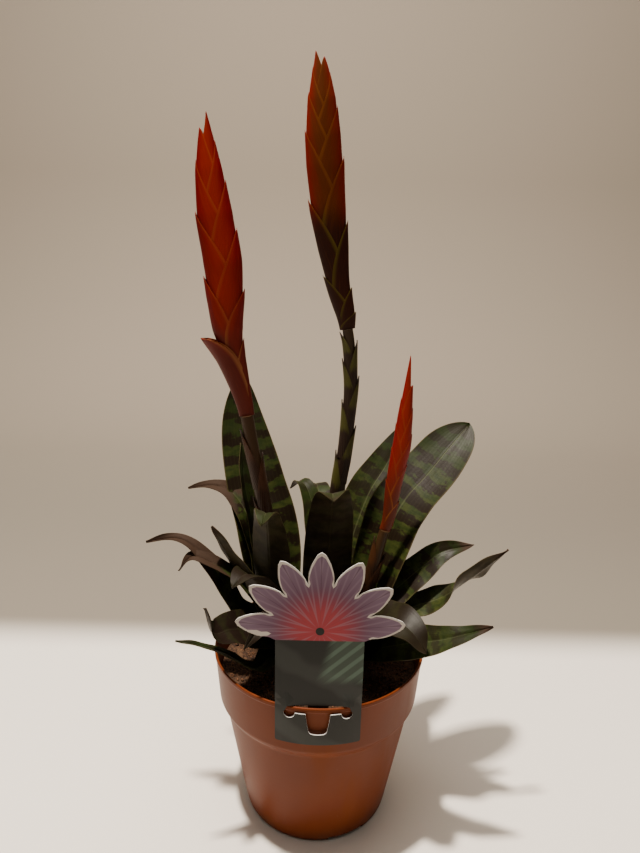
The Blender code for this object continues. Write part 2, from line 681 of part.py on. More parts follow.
def ringed_solid(name, rings, collection):
    """Joins rings in order into one closed solid, capped at both ends."""
    sides = len(rings[0])
    points = [point for ring in rings for point in ring]
    faces = [tuple(range(sides)), tuple(range(len(points) - sides, len(points)))]
    for i in range(len(rings) - 1):
        for k in range(sides):
            a = i * sides + k
            b = i * sides + (k + 1) % sides
            faces += [(a, b, b + sides), (a, b + sides, a + sides)]
    return mesh_object(name, points, faces, collection)


def build_stalk(plant, assembly):
    """The flower stalk with its clasping sheaths. A thinner peg on top goes into the sword."""
    path = Path(STALK_LINES[plant])
    radii = STALK_RADII[plant]
    low = STALK_LINES[plant][0][2]
    high = STALK_LINES[plant][-1][2]
    rings = scaled_rings(path, lambda z: by_height(radii, z) + 0.5, 1.0, 1.0, SHEATHS[plant], low, high, 12)
    rings.append(round_ring(path, path.length, PEG_RADIUS, 12))
    rings.append(round_ring(path, path.length + PEG_LENGTH, PEG_RADIUS, 12))
    return ringed_solid(f"stalk_{plant}", rings, assembly)


def sword_path(plant):
    """The line of a flower head: it carries on from its stalk, a hair above the stalk's end."""
    stalk = Path(STALK_LINES[plant])
    return Path([stalk.at(stalk.length + GAP)[0], stalk.at(stalk.length + 8)[0], *SWORD_LINES[plant]])


def build_sword(plant, assembly):
    """The flat flower head: two rows of overlapping bracts, with a socket below for the stalk's peg."""
    stalk = Path(STALK_LINES[plant])
    path = sword_path(plant)
    halves = SWORD_HALF_WIDTHS[plant]
    low = path.points[0][2]
    sides = 16
    rings = [
        round_ring(stalk, stalk.length + PEG_LENGTH + GAP, PEG_RADIUS + GAP, sides),
        round_ring(stalk, stalk.length + GAP, PEG_RADIUS + GAP, sides),
        round_ring(stalk, stalk.length + GAP, by_height(halves, low) - 0.6, sides),
    ]
    rings += scaled_rings(path, lambda z: by_height(halves, z), SWORD_FLATNESS, 1.3, SWORD_BRACTS[plant],
                          low + 4.0, path.points[-1][2], sides)
    return ringed_solid(f"sword_{plant}", rings, assembly)


def build():
    clear_scene()
    assembly = new_collection("flaming_sword_bromeliad")
    leaf_green = material("leaf", (0.06, 0.11, 0.04), 0.45)
    stalk_brown = material("stalk", (0.12, 0.07, 0.03), 0.5)
    looks = {
        "pot": material("pot plastic", (0.72, 0.27, 0.10), 0.5),
        "soil": material("compost", (0.06, 0.035, 0.02), 0.95),
        "label_card": material("card", (0.20, 0.22, 0.23), 0.6),
    }
    objects = [build_pot(assembly), build_soil(assembly), build_card(assembly)]
    tongue_parts = new_collection("card tongue")
    build_tongue(tongue_parts)
    fuse("label_card", objects[2], tongue_parts, "MANIFOLD")
    for plant in PLANTS:
        rosette = build_rosette(plant, assembly)
        stalk = build_stalk(plant, assembly)
        sword = build_sword(plant, assembly)
        looks[rosette.name] = leaf_green
        looks[stalk.name] = stalk_brown
        looks[sword.name] = material(f"bracts {plant}", (0.75, 0.12, 0.03), 0.4)
        objects += [rosette, stalk, sword]
    for obj in objects:
        obj.data.materials.clear()
        obj.data.materials.append(looks[obj.name])


build()
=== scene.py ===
"""Looks of the flaming sword bromeliad in its nursery pot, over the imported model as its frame."""

import json
import math
import random

import bmesh
import bpy
import numpy as np
from mathutils import Matrix, Vector

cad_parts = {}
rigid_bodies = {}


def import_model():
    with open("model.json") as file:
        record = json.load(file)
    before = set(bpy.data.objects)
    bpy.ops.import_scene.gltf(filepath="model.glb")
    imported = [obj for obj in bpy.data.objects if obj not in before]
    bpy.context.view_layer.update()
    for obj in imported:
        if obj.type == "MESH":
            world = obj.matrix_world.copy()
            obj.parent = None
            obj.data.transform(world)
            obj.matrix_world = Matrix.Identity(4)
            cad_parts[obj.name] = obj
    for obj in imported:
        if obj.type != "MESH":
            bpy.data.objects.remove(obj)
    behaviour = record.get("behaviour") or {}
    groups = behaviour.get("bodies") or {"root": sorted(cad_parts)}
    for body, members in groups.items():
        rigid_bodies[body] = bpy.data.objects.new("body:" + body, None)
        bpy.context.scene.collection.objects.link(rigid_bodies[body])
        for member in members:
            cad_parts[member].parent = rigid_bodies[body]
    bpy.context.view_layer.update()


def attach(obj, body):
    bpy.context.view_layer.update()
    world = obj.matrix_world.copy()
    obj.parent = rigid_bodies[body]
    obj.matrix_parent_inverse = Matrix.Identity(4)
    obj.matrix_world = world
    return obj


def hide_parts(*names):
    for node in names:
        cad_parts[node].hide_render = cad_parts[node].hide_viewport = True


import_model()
MM = 0.001


# Camera
# It stands where the photograph was taken: a third of a metre in front of the pot, at the height
# of the flower stalks, tilted down and turned a little about its own line of sight.

CAMERA_PLACE = (-0.00227, -0.3316, 0.3133)
CAMERA_TILT = math.radians(14.36)
CAMERA_ROLL = math.radians(1.31)
# The sensor's width spans the longer side of the picture, its height
SENSOR_WIDTH = 36
FOCAL_LENGTH_PX = 642
PICTURE_HEIGHT_PX = 853
forward = Vector((0, math.cos(CAMERA_TILT), -math.sin(CAMERA_TILT)))
level = Vector((1, 0, 0))
upward = level.cross(forward)
camera_x = level * math.cos(CAMERA_ROLL) + upward * math.sin(CAMERA_ROLL)
camera_y = upward * math.cos(CAMERA_ROLL) - level * math.sin(CAMERA_ROLL)
camera = bpy.data.objects.new("camera", bpy.data.cameras.new("camera"))
camera.data.sensor_width = SENSOR_WIDTH
camera.data.lens = SENSOR_WIDTH * FOCAL_LENGTH_PX / PICTURE_HEIGHT_PX
camera.data.clip_start = 0.02
camera.data.clip_end = 20
camera.matrix_world = Matrix(
    (
        (camera_x.x, camera_y.x, -forward.x, CAMERA_PLACE[0]),
        (camera_x.y, camera_y.y, -forward.y, CAMERA_PLACE[1]),
        (camera_x.z, camera_y.z, -forward.z, CAMERA_PLACE[2]),
        (0, 0, 0, 1),
    )
)
bpy.context.scene.collection.objects.link(camera)
bpy.context.scene.camera = camera


# Pot
# A blow-moulded nursery pot of thin terracotta-coloured polypropylene. A wider collar under the
# rim strengthens it, and it stands on a ring with three drainage notches round a centre foot.

# Points nearer than this, in metres, become one
MERGE_DISTANCE = 0.000005


def joined(operation, flipped=False):
    """A method that joins a value and another by a Math node, the other one first if flipped."""

    def method(self, other):
        first, second = (other, self) if flipped else (self, other)
        return self.paint.add("ShaderNodeMath", {"operation": operation}, {0: first, 1: second})

    return method


def alone(operation):
    """A method that puts a value through a Math node by itself."""

    def method(self):
        return self.paint.add("ShaderNodeMath", {"operation": operation}, {0: self})

    return method


class Value:
    """A value inside a material, so that shader sums read as plain sums."""

    def __init__(self, paint, socket):
        self.paint = paint
        self.socket = socket

    __add__, __radd__ = joined("ADD"), joined("ADD", True)
    __sub__, __rsub__ = joined("SUBTRACT"), joined("SUBTRACT", True)
    __mul__, __rmul__ = joined("MULTIPLY"), joined("MULTIPLY", True)
    __truediv__, __pow__ = joined("DIVIDE"), joined("POWER")
    least, most = joined("MINIMUM"), joined("MAXIMUM")
    __abs__, sine, part = alone("ABSOLUTE"), alone("SINE"), alone("FRACT")

    def step(self, low, high):
        """0 below low, 1 above high and a smooth climb between them."""
        return self.paint.add(
            "ShaderNodeMapRange",
            {"interpolation_type": "SMOOTHSTEP"},
            {"Value": self, "From Min": low, "From Max": high},
        )


class Paint:
    """A material under construction. Every node comes from add()."""

    def __init__(self, name, roughness=0.5, **constants):
        self.material = bpy.data.materials.new(name)
        self.material.use_nodes = True
        self.nodes = self.material.node_tree.nodes
        self.links = self.material.node_tree.links
        self.shader = self.nodes["Principled BSDF"]
        self.shader.inputs["Roughness"].default_value = roughness
        for socket, value in constants.items():
            self.shader.inputs[socket.replace("_", " ")].default_value = value

    def add(self, kind, settings=None, inputs=None, output=0):
        node = self.nodes.new(kind)
        for name, value in (settings or {}).items():
            if name == "stops":
                ramp = node.color_ramp
                while len(ramp.elements) < len(value):
                    ramp.elements.new(0.5)
                for element, (place, level) in zip(ramp.elements, value):
                    element.position = place
                    element.color = (level, level, level, 1.0)
            else:
                setattr(node, name, value)
        for name, value in (inputs or {}).items():
            socket = node.inputs[name]
            if isinstance(value, Value):
                self.links.new(value.socket, socket)
            elif isinstance(value, tuple) and len(value) == 3 and len(socket.default_value) == 4:
                socket.default_value = (*value, 1.0)
            else:
                socket.default_value = value
        return Value(self, node.outputs[output])

    def mix(self, amount, first, second):
        """First colour where amount is 0, second where it is 1."""
        return self.add("ShaderNodeMix", {"data_type": "RGBA"}, {0: amount, 6: first, 7: second}, 2)

    def noise(self, scale, detail=2.0, where=None, stretch=None, rough=0.5):
        """Smooth noise of that many lumps a metre, from 0 to 1."""
        place = where or self.add("ShaderNodeTexCoord", output="Object")
        if stretch:
            place = self.add("ShaderNodeMapping", None, {"Vector": place, "Scale": stretch})
        return self.add("ShaderNodeTexNoise", None,
                        {"Vector": place, "Scale": scale, "Detail": detail, "Roughness": rough})

    def attributes(self, *names):
        """The values stored under these names at each point."""
        return [self.add("ShaderNodeAttribute", {"attribute_name": name}, None, "Fac")
                for name in names]

    def axes(self):
        """The three object coordinates, in metres."""
        place = self.add("ShaderNodeTexCoord", output="Object")
        return [self.add("ShaderNodeSeparateXYZ", None, {0: place}, k) for k in range(3)]

    def vector(self, x, y, z):
        return self.add("ShaderNodeCombineXYZ", None, {0: x, 1: y, 2: z})

    def finish(self, colour, roughness=None, height=None, depth=0.001, strength=1.0):
        """Links what varies to the surface. Height is a bump of that depth in metres."""
        self.links.new(colour.socket, self.shader.inputs["Base Color"])
        if roughness is not None:
            self.links.new(roughness.socket, self.shader.inputs["Roughness"])
        if height is not None:
            bump = self.add("ShaderNodeBump", None,
                            {"Strength": strength, "Distance": depth, "Height": height})
            self.links.new(bump.socket, self.shader.inputs["Normal"])
        return self.material


def make_piece(name, points, faces, paint, crease=40):
    """A mesh object from points in millimetres, smooth but for edges over crease degrees."""
    mesh = bpy.data.meshes.new(name)
    mesh.from_pydata((np.asarray(points, float) * MM).tolist(), [], faces)
    piece = bpy.data.objects.new(name, mesh)
    bpy.context.scene.collection.objects.link(piece)
    mesh.materials.append(paint)
    mesh.shade_smooth()
    mesh.set_sharp_from_angle(angle=math.radians(crease))
    return piece


def turned(profile, steps):
    """Points and faces of an outline of (radius, height) turned about Z, closed at the axis."""
    points = []
    rows = []
    for radius, z in profile:
        if radius < 0.01:
            rows.append([len(points)] * steps)
            points.append((0.0, 0.0, z))
        else:
            rows.append(list(range(len(points), len(points) + steps)))
            angles = [2 * math.pi * k / steps for k in range(steps)]
            points += [(radius * math.cos(a), radius * math.sin(a), z) for a in angles]
    faces = []
    for low, high in zip(rows, rows[1:]):
        for k in range(steps):
            corners = (low[k], high[k], high[(k + 1) % steps], low[(k + 1) % steps])
            faces.append(tuple(dict.fromkeys(corners)))
    return points, faces


def rounded(profile, radius):
    """The outline with each inner corner replaced by a short curve."""
    out = [profile[0]]
    for before, corner, after in zip(profile, profile[1:], profile[2:]):
        before, corner, after = (np.array(p, float) for p in (before, corner, after))
        back = before - corner
        ahead = after - corner
        reach = min(radius, 0.42 * np.linalg.norm(back), 0.42 * np.linalg.norm(ahead))
        first = corner + back / np.linalg.norm(back) * reach
        last = corner + ahead / np.linalg.norm(ahead) * reach
        for t in (0.0, 0.25, 0.5, 0.75, 1.0):
            out.append(tuple((1 - t) ** 2 * first + 2 * t * (1 - t) * corner + t * t * last))
    return out + [profile[-1]]


def outward(piece, merge=True):
    """Turns every face outward, after merging doubles unless told not to."""
    work = bmesh.new()
    work.from_mesh(piece.data)
    if merge:
        bmesh.ops.remove_doubles(work, verts=work.verts, dist=MERGE_DISTANCE)
    bmesh.ops.recalc_face_normals(work, faces=work.faces)
    work.to_mesh(piece.data)
    work.free()


def apply_modifiers(piece):
    """Keeps the plain mesh that the modifiers give."""
    graph = bpy.context.evaluated_depsgraph_get()
    made = bpy.data.meshes.new_from_object(piece.evaluated_get(graph))
    piece.modifiers.clear()
    piece.data = made


plastic = Paint("pot plastic", 0.46, Specular_IOR_Level=0.12)
z = plastic.axes()[2]
cloudy = plastic.noise(22, 3)
scuffs = plastic.noise(60, 4, stretch=(1.0, 1.0, 0.12)).step(0.56, 0.74)
dust = plastic.noise(420, 2).step(0.66, 0.78) * plastic.noise(30, 2).step(0.45, 0.7)
tone = plastic.mix(cloudy.step(0.3, 0.7), (0.110, 0.021, 0.003), (0.135, 0.027, 0.004))
tone = plastic.mix(scuffs * 0.2, tone, (0.20, 0.060, 0.016))
tone = plastic.mix(dust * 0.35, tone, (0.16, 0.07, 0.035))
foot_dirt = (0.012 - z).step(0.0, 0.012) * plastic.noise(90, 3).step(0.4, 0.7)
tone = plastic.mix(foot_dirt * 0.35, tone, (0.13, 0.06, 0.03))
pot_paint = plastic.finish(
    tone, 0.42 + scuffs * 0.16 + cloudy * 0.08, plastic.noise(380, 2) + scuffs * 0.5, 0.00012, 0.35
)

POT_STEPS = 144
POT_CREASE = 35
POT_ROUNDING = 0.9
DRAIN_HOLES = 8
DRAIN_CIRCLE = 25
DRAIN_RADIUS = 3.5
NOTCH_MIDDLES = (-65, 55, 175)
NOTCH_DEGREES = 30
NOTCH_TOP = 2.5
NOTCH_RADII = (33.0, 48.0)

# Radius and height in millimetres, from the inside of the floor over the rim to the underside
POT_PROFILE = [
    (0, 4.3), (38.7, 4.3), (40.7, 5.8), (52.7, 67), (55.7, 71), (58.1, 96.5), (58.7, 99.5),
    (59.1, 100), (59.6, 100), (60, 99.6), (60, 97.8), (59.5, 97.2), (57.3, 72), (56.4, 70),
    (54.3, 67.4), (53.8, 65.8), (42.6, 4), (42, 1.4), (41.2, 0.2), (40.6, 0), (37.4, 0),
    (36.6, 2.5), (12.6, 2.5), (12, 0), (0, 0),
]
points, faces = turned(rounded(POT_PROFILE, POT_ROUNDING), POT_STEPS)
pot = make_piece("nursery_pot", points, faces, pot_paint, POT_CREASE)
outward(pot)
drill = bpy.data.collections.new("drill")


def add_cutter(name, points, faces):
    """Adds a shape to those that are cut out of the pot."""
    cutter = make_piece(name, points, faces, pot_paint)
    outward(cutter)
    bpy.context.scene.collection.objects.unlink(cutter)
    drill.objects.link(cutter)


for k in range(DRAIN_HOLES):
    points, faces = turned([(0, -2), (DRAIN_RADIUS, -2), (DRAIN_RADIUS, 7), (0, 7)], 24)
    angle = 2 * math.pi * k / DRAIN_HOLES
    points = np.array(points) + (DRAIN_CIRCLE * math.cos(angle), DRAIN_CIRCLE * math.sin(angle), 0)
    add_cutter(f"drill_{k}", points, faces)
for middle in NOTCH_MIDDLES:
    ring = []
    for height in (-2.0, NOTCH_TOP):
        for radius in NOTCH_RADII:
            for k in range(9):
                angle = math.radians(middle + NOTCH_DEGREES * (k / 8 - 0.5))
                ring.append((radius * math.cos(angle), radius * math.sin(angle), height))
    faces = [(0, 9, 27, 18), (8, 17, 35, 26)]
    for k in range(8):
        faces += [(k, k + 1, k + 10, k + 9), (k + 18, k + 19, k + 28, k + 27)]
        faces += [(k, k + 1, k + 19, k + 18), (k + 9, k + 10, k + 28, k + 27)]
    add_cutter(f"notch_{middle}", ring, faces)
bore = pot.modifiers.new("bore", "BOOLEAN")
bore.operation = "DIFFERENCE"
bore.operand_type = "COLLECTION"
bore.collection = drill
bore.solver = "EXACT"
apply_modifiers(pot)
for cutter in list(drill.objects):
    bpy.data.objects.remove(cutter)
bpy.data.collections.remove(drill)
pot.data.shade_smooth()
pot.data.set_sharp_from_angle(angle=math.radians(POT_CREASE))
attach(pot, "root")
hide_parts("pot")


# Compost
# Coarse brown coir and peat, filled to a finger below the rim, its top left loose and crumbly
# with short fibres in it. It holds the three young plants.

peat = Paint("compost", 0.95, Specular_IOR_Level=0.2)
grain = peat.noise(900, 5, rough=0.65)
patch = peat.noise(160, 3)
tone = peat.mix(grain.step(0.35, 0.65), (0.012, 0.007, 0.005), (0.085, 0.042, 0.022))
tone = peat.mix(patch.step(0.5, 0.7) * 0.5, tone, (0.13, 0.07, 0.035))
soil_paint = peat.finish(tone, None, grain, 0.0015, 0.9)

loose_peat = Paint("compost crumbs", 0.95, Specular_IOR_Level=0.2)
tint = loose_peat.noise(700, 2)
crumb_paint = loose_peat.finish(
    loose_peat.mix(tint.step(0.35, 0.65), (0.022, 0.011, 0.007), (0.14, 0.065, 0.032)),
    None, loose_peat.noise(2500, 3), 0.0004, 0.8,
)

SOIL_LEVEL = 85.0
SOIL_STEPS = 96
SOIL_RINGS = (56.2, 54, 50, 46, 42, 38, 34, 30, 26, 22, 18, 14, 10, 6, 3)
CRUMB_BED_RADIUS = 55
CRUMB_CELLS = 26
CRUMB_CELL = 4.0
CRUMBS_A_SQUARE_METRE = 190000.0


def soil_height(px, py):
    """Top of the compost at a point, in millimetres: gentle swells and small lumps."""
    swell = 0.7 * math.sin(0.21 * px + 1.0) + 0.6 * math.sin(0.17 * py + 0.13 * px)
    lumps = 0.35 * math.sin(1.1 * px + 0.7 * py) * math.sin(0.9 * py - 0.4 * px)
    return SOIL_LEVEL + swell + lumps


SOIL_PROFILE = [(0, 4.7), (38.0, 4.7), (40.2, 6.6), (52.2, 66.8), (55.3, 71.4), (56.5, 83.0)]
points, faces = turned(SOIL_PROFILE, SOIL_STEPS)
top_rows = []
for radius in SOIL_RINGS:
    top_rows.append(len(points))
    for k in range(SOIL_STEPS):
        angle = 2 * math.pi * k / SOIL_STEPS
        px, py = radius * math.cos(angle), radius * math.sin(angle)
        points.append((px, py, soil_height(px, py) - (0.5 if radius > 56 else 0)))
for below, above in zip([top_rows[0] - SOIL_STEPS] + top_rows, top_rows):
    for k in range(SOIL_STEPS):
        ahead = (k + 1) % SOIL_STEPS
        faces.append((below + k, below + ahead, above + ahead, above + k))
points.append((0, 0, soil_height(0, 0)))
for k in range(SOIL_STEPS):
    faces.append((top_rows[-1] + k, top_rows[-1] + (k + 1) % SOIL_STEPS, len(points) - 1))
soil = make_piece("compost", points, faces, soil_paint, 60)
outward(soil)


class Tree:
    """A geometry tree under construction. Every node comes from add()."""

    def __init__(self, name, inputs):
        self.group = bpy.data.node_groups.new(name, "GeometryNodeTree")
        interface = self.group.interface
        for label, kind, value in [("Geometry", "NodeSocketGeometry", None), *inputs]:
            socket = interface.new_socket(label, in_out="INPUT", socket_type=kind)
            if value is not None:
                socket.default_value = value
        interface.new_socket("Geometry", in_out="OUTPUT", socket_type="NodeSocketGeometry")
        self.given = self.group.nodes.new("NodeGroupInput").outputs
        self.result = self.group.nodes.new("NodeGroupOutput").inputs[0]

    def add(self, kind, settings=None, inputs=None, output=0):
        node = self.group.nodes.new(kind)
        for name, value in (settings or {}).items():
            setattr(node, name, value)
        for name, value in (inputs or {}).items():
            for one in value if isinstance(value, list) else [value]:
                if isinstance(one, bpy.types.NodeSocket):
                    self.group.links.new(one, node.inputs[name])
                else:
                    node.inputs[name].default_value = one
        return node.outputs[output]

    def run(self, piece, values):
        """Runs the tree on a piece, its inputs set by identifier, and keeps the plain mesh."""
        modifier = piece.modifiers.new("tree", "NODES")
        modifier.node_group = self.group
        for item in self.group.interface.items_tree:
            if item.item_type == "SOCKET" and item.in_out == "INPUT" and item.name in values:
                modifier[item.identifier] = values[item.name]
        apply_modifiers(piece)


tree = Tree("crumbs", [
    ("Count a square metre", "NodeSocketFloat", 1.0), ("Crumb size", "NodeSocketFloat", 0.001),
    ("Fibre share", "NodeSocketFloat", 0.2), ("Seed", "NodeSocketInt", 3),
    ("Finish", "NodeSocketMaterial", None),
])
given = tree.given
spread = tree.add("GeometryNodeDistributePointsOnFaces", None,
                  {"Mesh": given["Geometry"], "Density": given["Count a square metre"],
                   "Seed": given["Seed"]}, "Points")
lump = tree.add("GeometryNodeMeshIcoSphere", None, {"Radius": 1.0, "Subdivisions": 2}, "Mesh")
wobble = tree.add("ShaderNodeTexNoise", None, {"Scale": 1.6}, "Color")
shake = tree.add("ShaderNodeVectorMath", {"operation": "SCALE"}, {0: wobble, "Scale": 0.9})
rough_lump = tree.add("GeometryNodeSetPosition", None, {"Geometry": lump, "Offset": shake})
turn = tree.add("FunctionNodeRandomValue", {"data_type": "FLOAT_VECTOR"},
                {"Min": (0, 0, 0), "Max": (6.28, 6.28, 6.28), "Seed": 5})
size = tree.add("FunctionNodeRandomValue", {"data_type": "FLOAT"}, {2: 0.35, 3: 1.5, "Seed": 7}, 1)
grow = tree.add("ShaderNodeMath", {"operation": "MULTIPLY"}, {0: size, 1: given["Crumb size"]})
crumbs = tree.add("GeometryNodeInstanceOnPoints", None,
                  {"Points": spread, "Instance": rough_lump, "Rotation": turn, "Scale": grow})
is_fibre = tree.add("FunctionNodeRandomValue", {"data_type": "BOOLEAN"},
                    {"Probability": given["Fibre share"], "Seed": 9}, 3)
fibre_line = tree.add("GeometryNodeCurveArc", None,
                      {"Resolution": 5, "Radius": 5.0, "Sweep Angle": 1.1}, "Curve")
fibre_ring = tree.add("GeometryNodeCurvePrimitiveCircle", None,
                      {"Resolution": 3, "Radius": 0.16}, "Curve")
fibre = tree.add("GeometryNodeCurveToMesh", None,
                 {"Curve": fibre_line, "Profile Curve": fibre_ring, "Fill Caps": True}, "Mesh")
fibres = tree.add("GeometryNodeInstanceOnPoints", None,
                  {"Points": spread, "Selection": is_fibre, "Instance": fibre,
                   "Rotation": turn, "Scale": grow})
both = tree.add("GeometryNodeJoinGeometry", None, {0: [crumbs, fibres]})
real = tree.add("GeometryNodeRealizeInstances", None, {"Geometry": both})
dress = tree.add("GeometryNodeSetMaterial", None, {"Geometry": real, "Material": given["Finish"]})
tree.group.links.new(dress, tree.result)

bed = []
bed_row = CRUMB_CELLS + 1
for i in range(bed_row):
    for j in range(bed_row):
        px, py = (i - CRUMB_CELLS / 2) * CRUMB_CELL, (j - CRUMB_CELLS / 2) * CRUMB_CELL
        bed.append((px, py, soil_height(px, py) - 0.2))
faces = []
for i in range(CRUMB_CELLS):
    for j in range(CRUMB_CELLS):
        a = i * bed_row + j
        corners = (a, a + bed_row, a + bed_row + 1, a + 1)
        if all(math.hypot(bed[c][0], bed[c][1]) < CRUMB_BED_RADIUS for c in corners):
            faces.append(corners)
crumb_layer = make_piece("compost_crumbs", bed, faces, crumb_paint)
tree.run(crumb_layer, {
    "Count a square metre": CRUMBS_A_SQUARE_METRE,
    "Crumb size": 0.0008,
    "Fibre share": 0.10,
    "Seed": 3,
    "Finish": crumb_paint,
})
for piece in (soil, crumb_layer):
    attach(piece, "root")
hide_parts("soil")


# Leaf rosettes
# Three young plants. Each leaf is a leathery strap whose foot wraps the shoot, green with dark
# purple-brown cross bands, thin pale edges and, on the older ones, a dry brown tip.

CROWN_FOOT = 84.0
LEAF_HALF_THICKNESS = 0.32
# The foot's half-width for each millimetre of its radius, the share of the length over which the
# sheath opens into the blade, and the half-width that is left at the tip
FOOT_WRAP = 1.3
SHEATH_SHARE = 0.45
TIP_HALF_WIDTH = 0.35
BAND_LENGTH = 12.5
LEAF_STATIONS = np.concatenate([np.linspace(0, 0.9, 46), np.linspace(0.91, 1.0, 12)])
LEAF_ARMS = np.linspace(-1, 1, 15)
# How far those leaves are darkened towards near black-purple: painted shade
PAINTED_SHADE_STRENGTH = 0.75
SHEET_CREASE = 50

# Where each shoot stands, and how it leans as it rises
PLANTS = {
    "left": ((-17.0, 0.0), (-0.13, 0.0)),
    "middle": ((1.0, 14.0), (0.07, -0.02)),
    "right": ((17.0, -2.0), (0.17, -0.01)),
}
# Each leaf: foot radius, widest half-width, turn of the blade, turn of its outer part, how late it
# narrows, dryness of the tip, ripple of the edges in millimetres, then its midline's points
LEAVES = {
    "left": [
        (8.4, 18.5, -26, 0, 5.0, 0.0, 0.5, (-31, 17, 158), (-40, 28, 188), (-48, 39, 220),
         (-50, 48, 248)),
        (7.2, 7.5, 0, 0, 4.5, 0.0, 0.4, (-38, 8, 165), (-44, 13, 190), (-47, 19, 213)),
        (8.8, 9.5, -10, -20, 3.0, 0.5, 0.5, (-39, 12, 160), (-50, 20, 180), (-63, 25, 185),
         (-80, 30, 181)),
        (9.0, 9.5, 35, 0, 4.0, 0.2, 0.5, (-36, -6, 130), (-50, -10, 157), (-59, -12, 175)),
        (8.0, 7.5, -45, 20, 2.6, 0.9, 0.7, (-46, -7, 124), (-56, -8, 144), (-67, -7, 158),
         (-79, -5, 164.5), (-97, -4, 161.5)),
        (8.9, 6.5, -20, 0, 4.5, 0.6, 0.6, (-38, -8, 134), (-48, -10, 146), (-59, -11, 153),
         (-70, -11, 157), (-78, -11, 148)),
        (9.0, 15.0, -45, 20, 1.9, 0.1, 0.8, (-38, -20, 118), (-47, -31, 125), (-54, -41, 129),
         (-57, -46, 146)),
        (9.2, 5.0, -20, 0, 2.4, 0.1, 0.3, (-34, -28, 100), (-49, -36, 114), (-62, -41, 122),
         (-73, -44, 126)),
        (8.9, 12.5, 0, 0, 5.0, 0.0, 0.6, (-28, -16, 128), (-33, -27, 150), (-38, -38, 161),
         (-43, -49, 159)),
        (8.6, 8.5, -30, 0, 3.0, 0.1, 0.5, (-21, -27, 130), (-25, -42, 139), (-31, -50, 136),
         (-37, -55, 129)),
        (7.6, 12.0, 0, 0, 4.5, 0.05, 0.6, (-27, -13, 150), (-28, -21, 178), (-28, -33, 192),
         (-29, -47, 191)),
        (9.2, 9.0, 0, 0, 4.5, 0.2, 0.5, (-20, 10, 100), (-26, 30, 112), (-33, 50, 118),
         (-38, 67, 111)),
    ],
    "middle": [
        (8.6, 14.5, 0, 0, 5.0, 0.1, 0.6, (4, 1, 150), (5, -6, 180), (5, -17, 197), (5, -34, 199)),
        (8.0, 9.0, 0, 0, 4.5, 0.2, 0.5, (-2, 22, 150), (-6, 29, 174), (-12, 37, 184),
         (-20, 46, 177)),
        (8.8, 15.0, 28, 0, 5.0, 0.0, 0.5, (16.5, 30, 142), (28, 42, 174), (40, 52, 192),
         (55, 64, 217)),
        (8.8, 11.0, 0, 0, 4.5, 0.1, 0.6, (1, 29, 130), (0, 44, 158), (-3, 64, 172), (-6, 84, 166)),
    ],
    "right": [
        (8.4, 17.5, 28, 0, 12.0, 0.05, 0.5, (29.5, 1.5, 131), (39, 8, 168), (48, 14, 184),
         (60, 20, 196), (72, 27, 209), (86, 36, 223)),
        (8.0, 12.5, 45, 0, 2.6, 0.25, 0.8, (35, -5, 128), (46, -3, 139), (58, -1, 149.5),
         (68, 1, 157), (86, 3, 161)),
        (8.8, 9.0, 30, -95, 4.5, 0.35, 1.0, (36, -7, 118), (52, -7, 127), (67, -9, 134),
         (77, -10, 143), (88, -12, 154), (101.5, -10, 164.5)),
        (9.2, 15.0, 45, 0, 1.4, 0.3, 0.5, (33, -16, 106), (48, -26, 116), (65, -34, 124),
         (88.5, -39, 135)),
        (8.6, 14.5, 40, -30, 4.0, 0.1, 0.8, (29, -20, 124), (40, -33, 133), (48, -41, 131),
         (54, -46, 123)),
        (8.4, 11.0, 0, 0, 4.5, 0.1, 0.6, (17, -16, 125), (14, -30, 145), (12, -44, 142),
         (11, -52, 130)),
        (9.2, 8.0, 0, 0, 4.5, 0.1, 0.6, (26, 6, 100), (38, 20, 112), (49, 35, 118), (58, 50, 111)),
    ],
}
# Leaves darkened to near black-purple all over: painted shade for the shade the leaves above cast
LEAVES_WITH_PAINTED_SHADE = {("left", 6), ("left", 8), ("left", 9), ("right", 4), ("right", 5)}


def unit(vector):
    return vector / np.linalg.norm(vector)


class Path:
    """A smooth line through given points, read by its length or by height."""

    def __init__(self, marks):
        marks = [np.array(mark, float) for mark in marks]
        marks = [2 * marks[0] - marks[1]] + marks + [2 * marks[-1] - marks[-2]]
        dense = []
        for i in range(1, len(marks) - 2):
            a, b, c, d = marks[i - 1 : i + 3]
            for t in np.arange(24) / 24:
                dense.append(0.5 * (2 * b + (c - a) * t + (2 * a - 5 * b + 4 * c - d) * t**2
                                    + (3 * b - a - 3 * c + d) * t**3))
        dense.append(marks[-2])
        self.points = np.array(dense)
        steps = np.linalg.norm(np.diff(self.points, axis=0), axis=1)
        self.lengths = np.concatenate([[0.0], np.cumsum(steps)])
        self.length = self.lengths[-1]

    def place(self, distance):
        return np.array([np.interp(distance, self.lengths, self.points[:, k]) for k in range(3)])

    def at(self, distance):
        """Position and direction at a distance from the foot, straight on past either end."""
        inside = min(max(distance, 0.0), self.length)
        ahead, behind = min(inside + 2.0, self.length), max(inside - 2.0, 0.0)
        direction = unit(self.place(ahead) - self.place(behind))
        return self.place(inside) + direction * (distance - inside), direction

    def distance_at_height(self, height):
        return float(np.interp(height, self.points[:, 2], self.lengths))


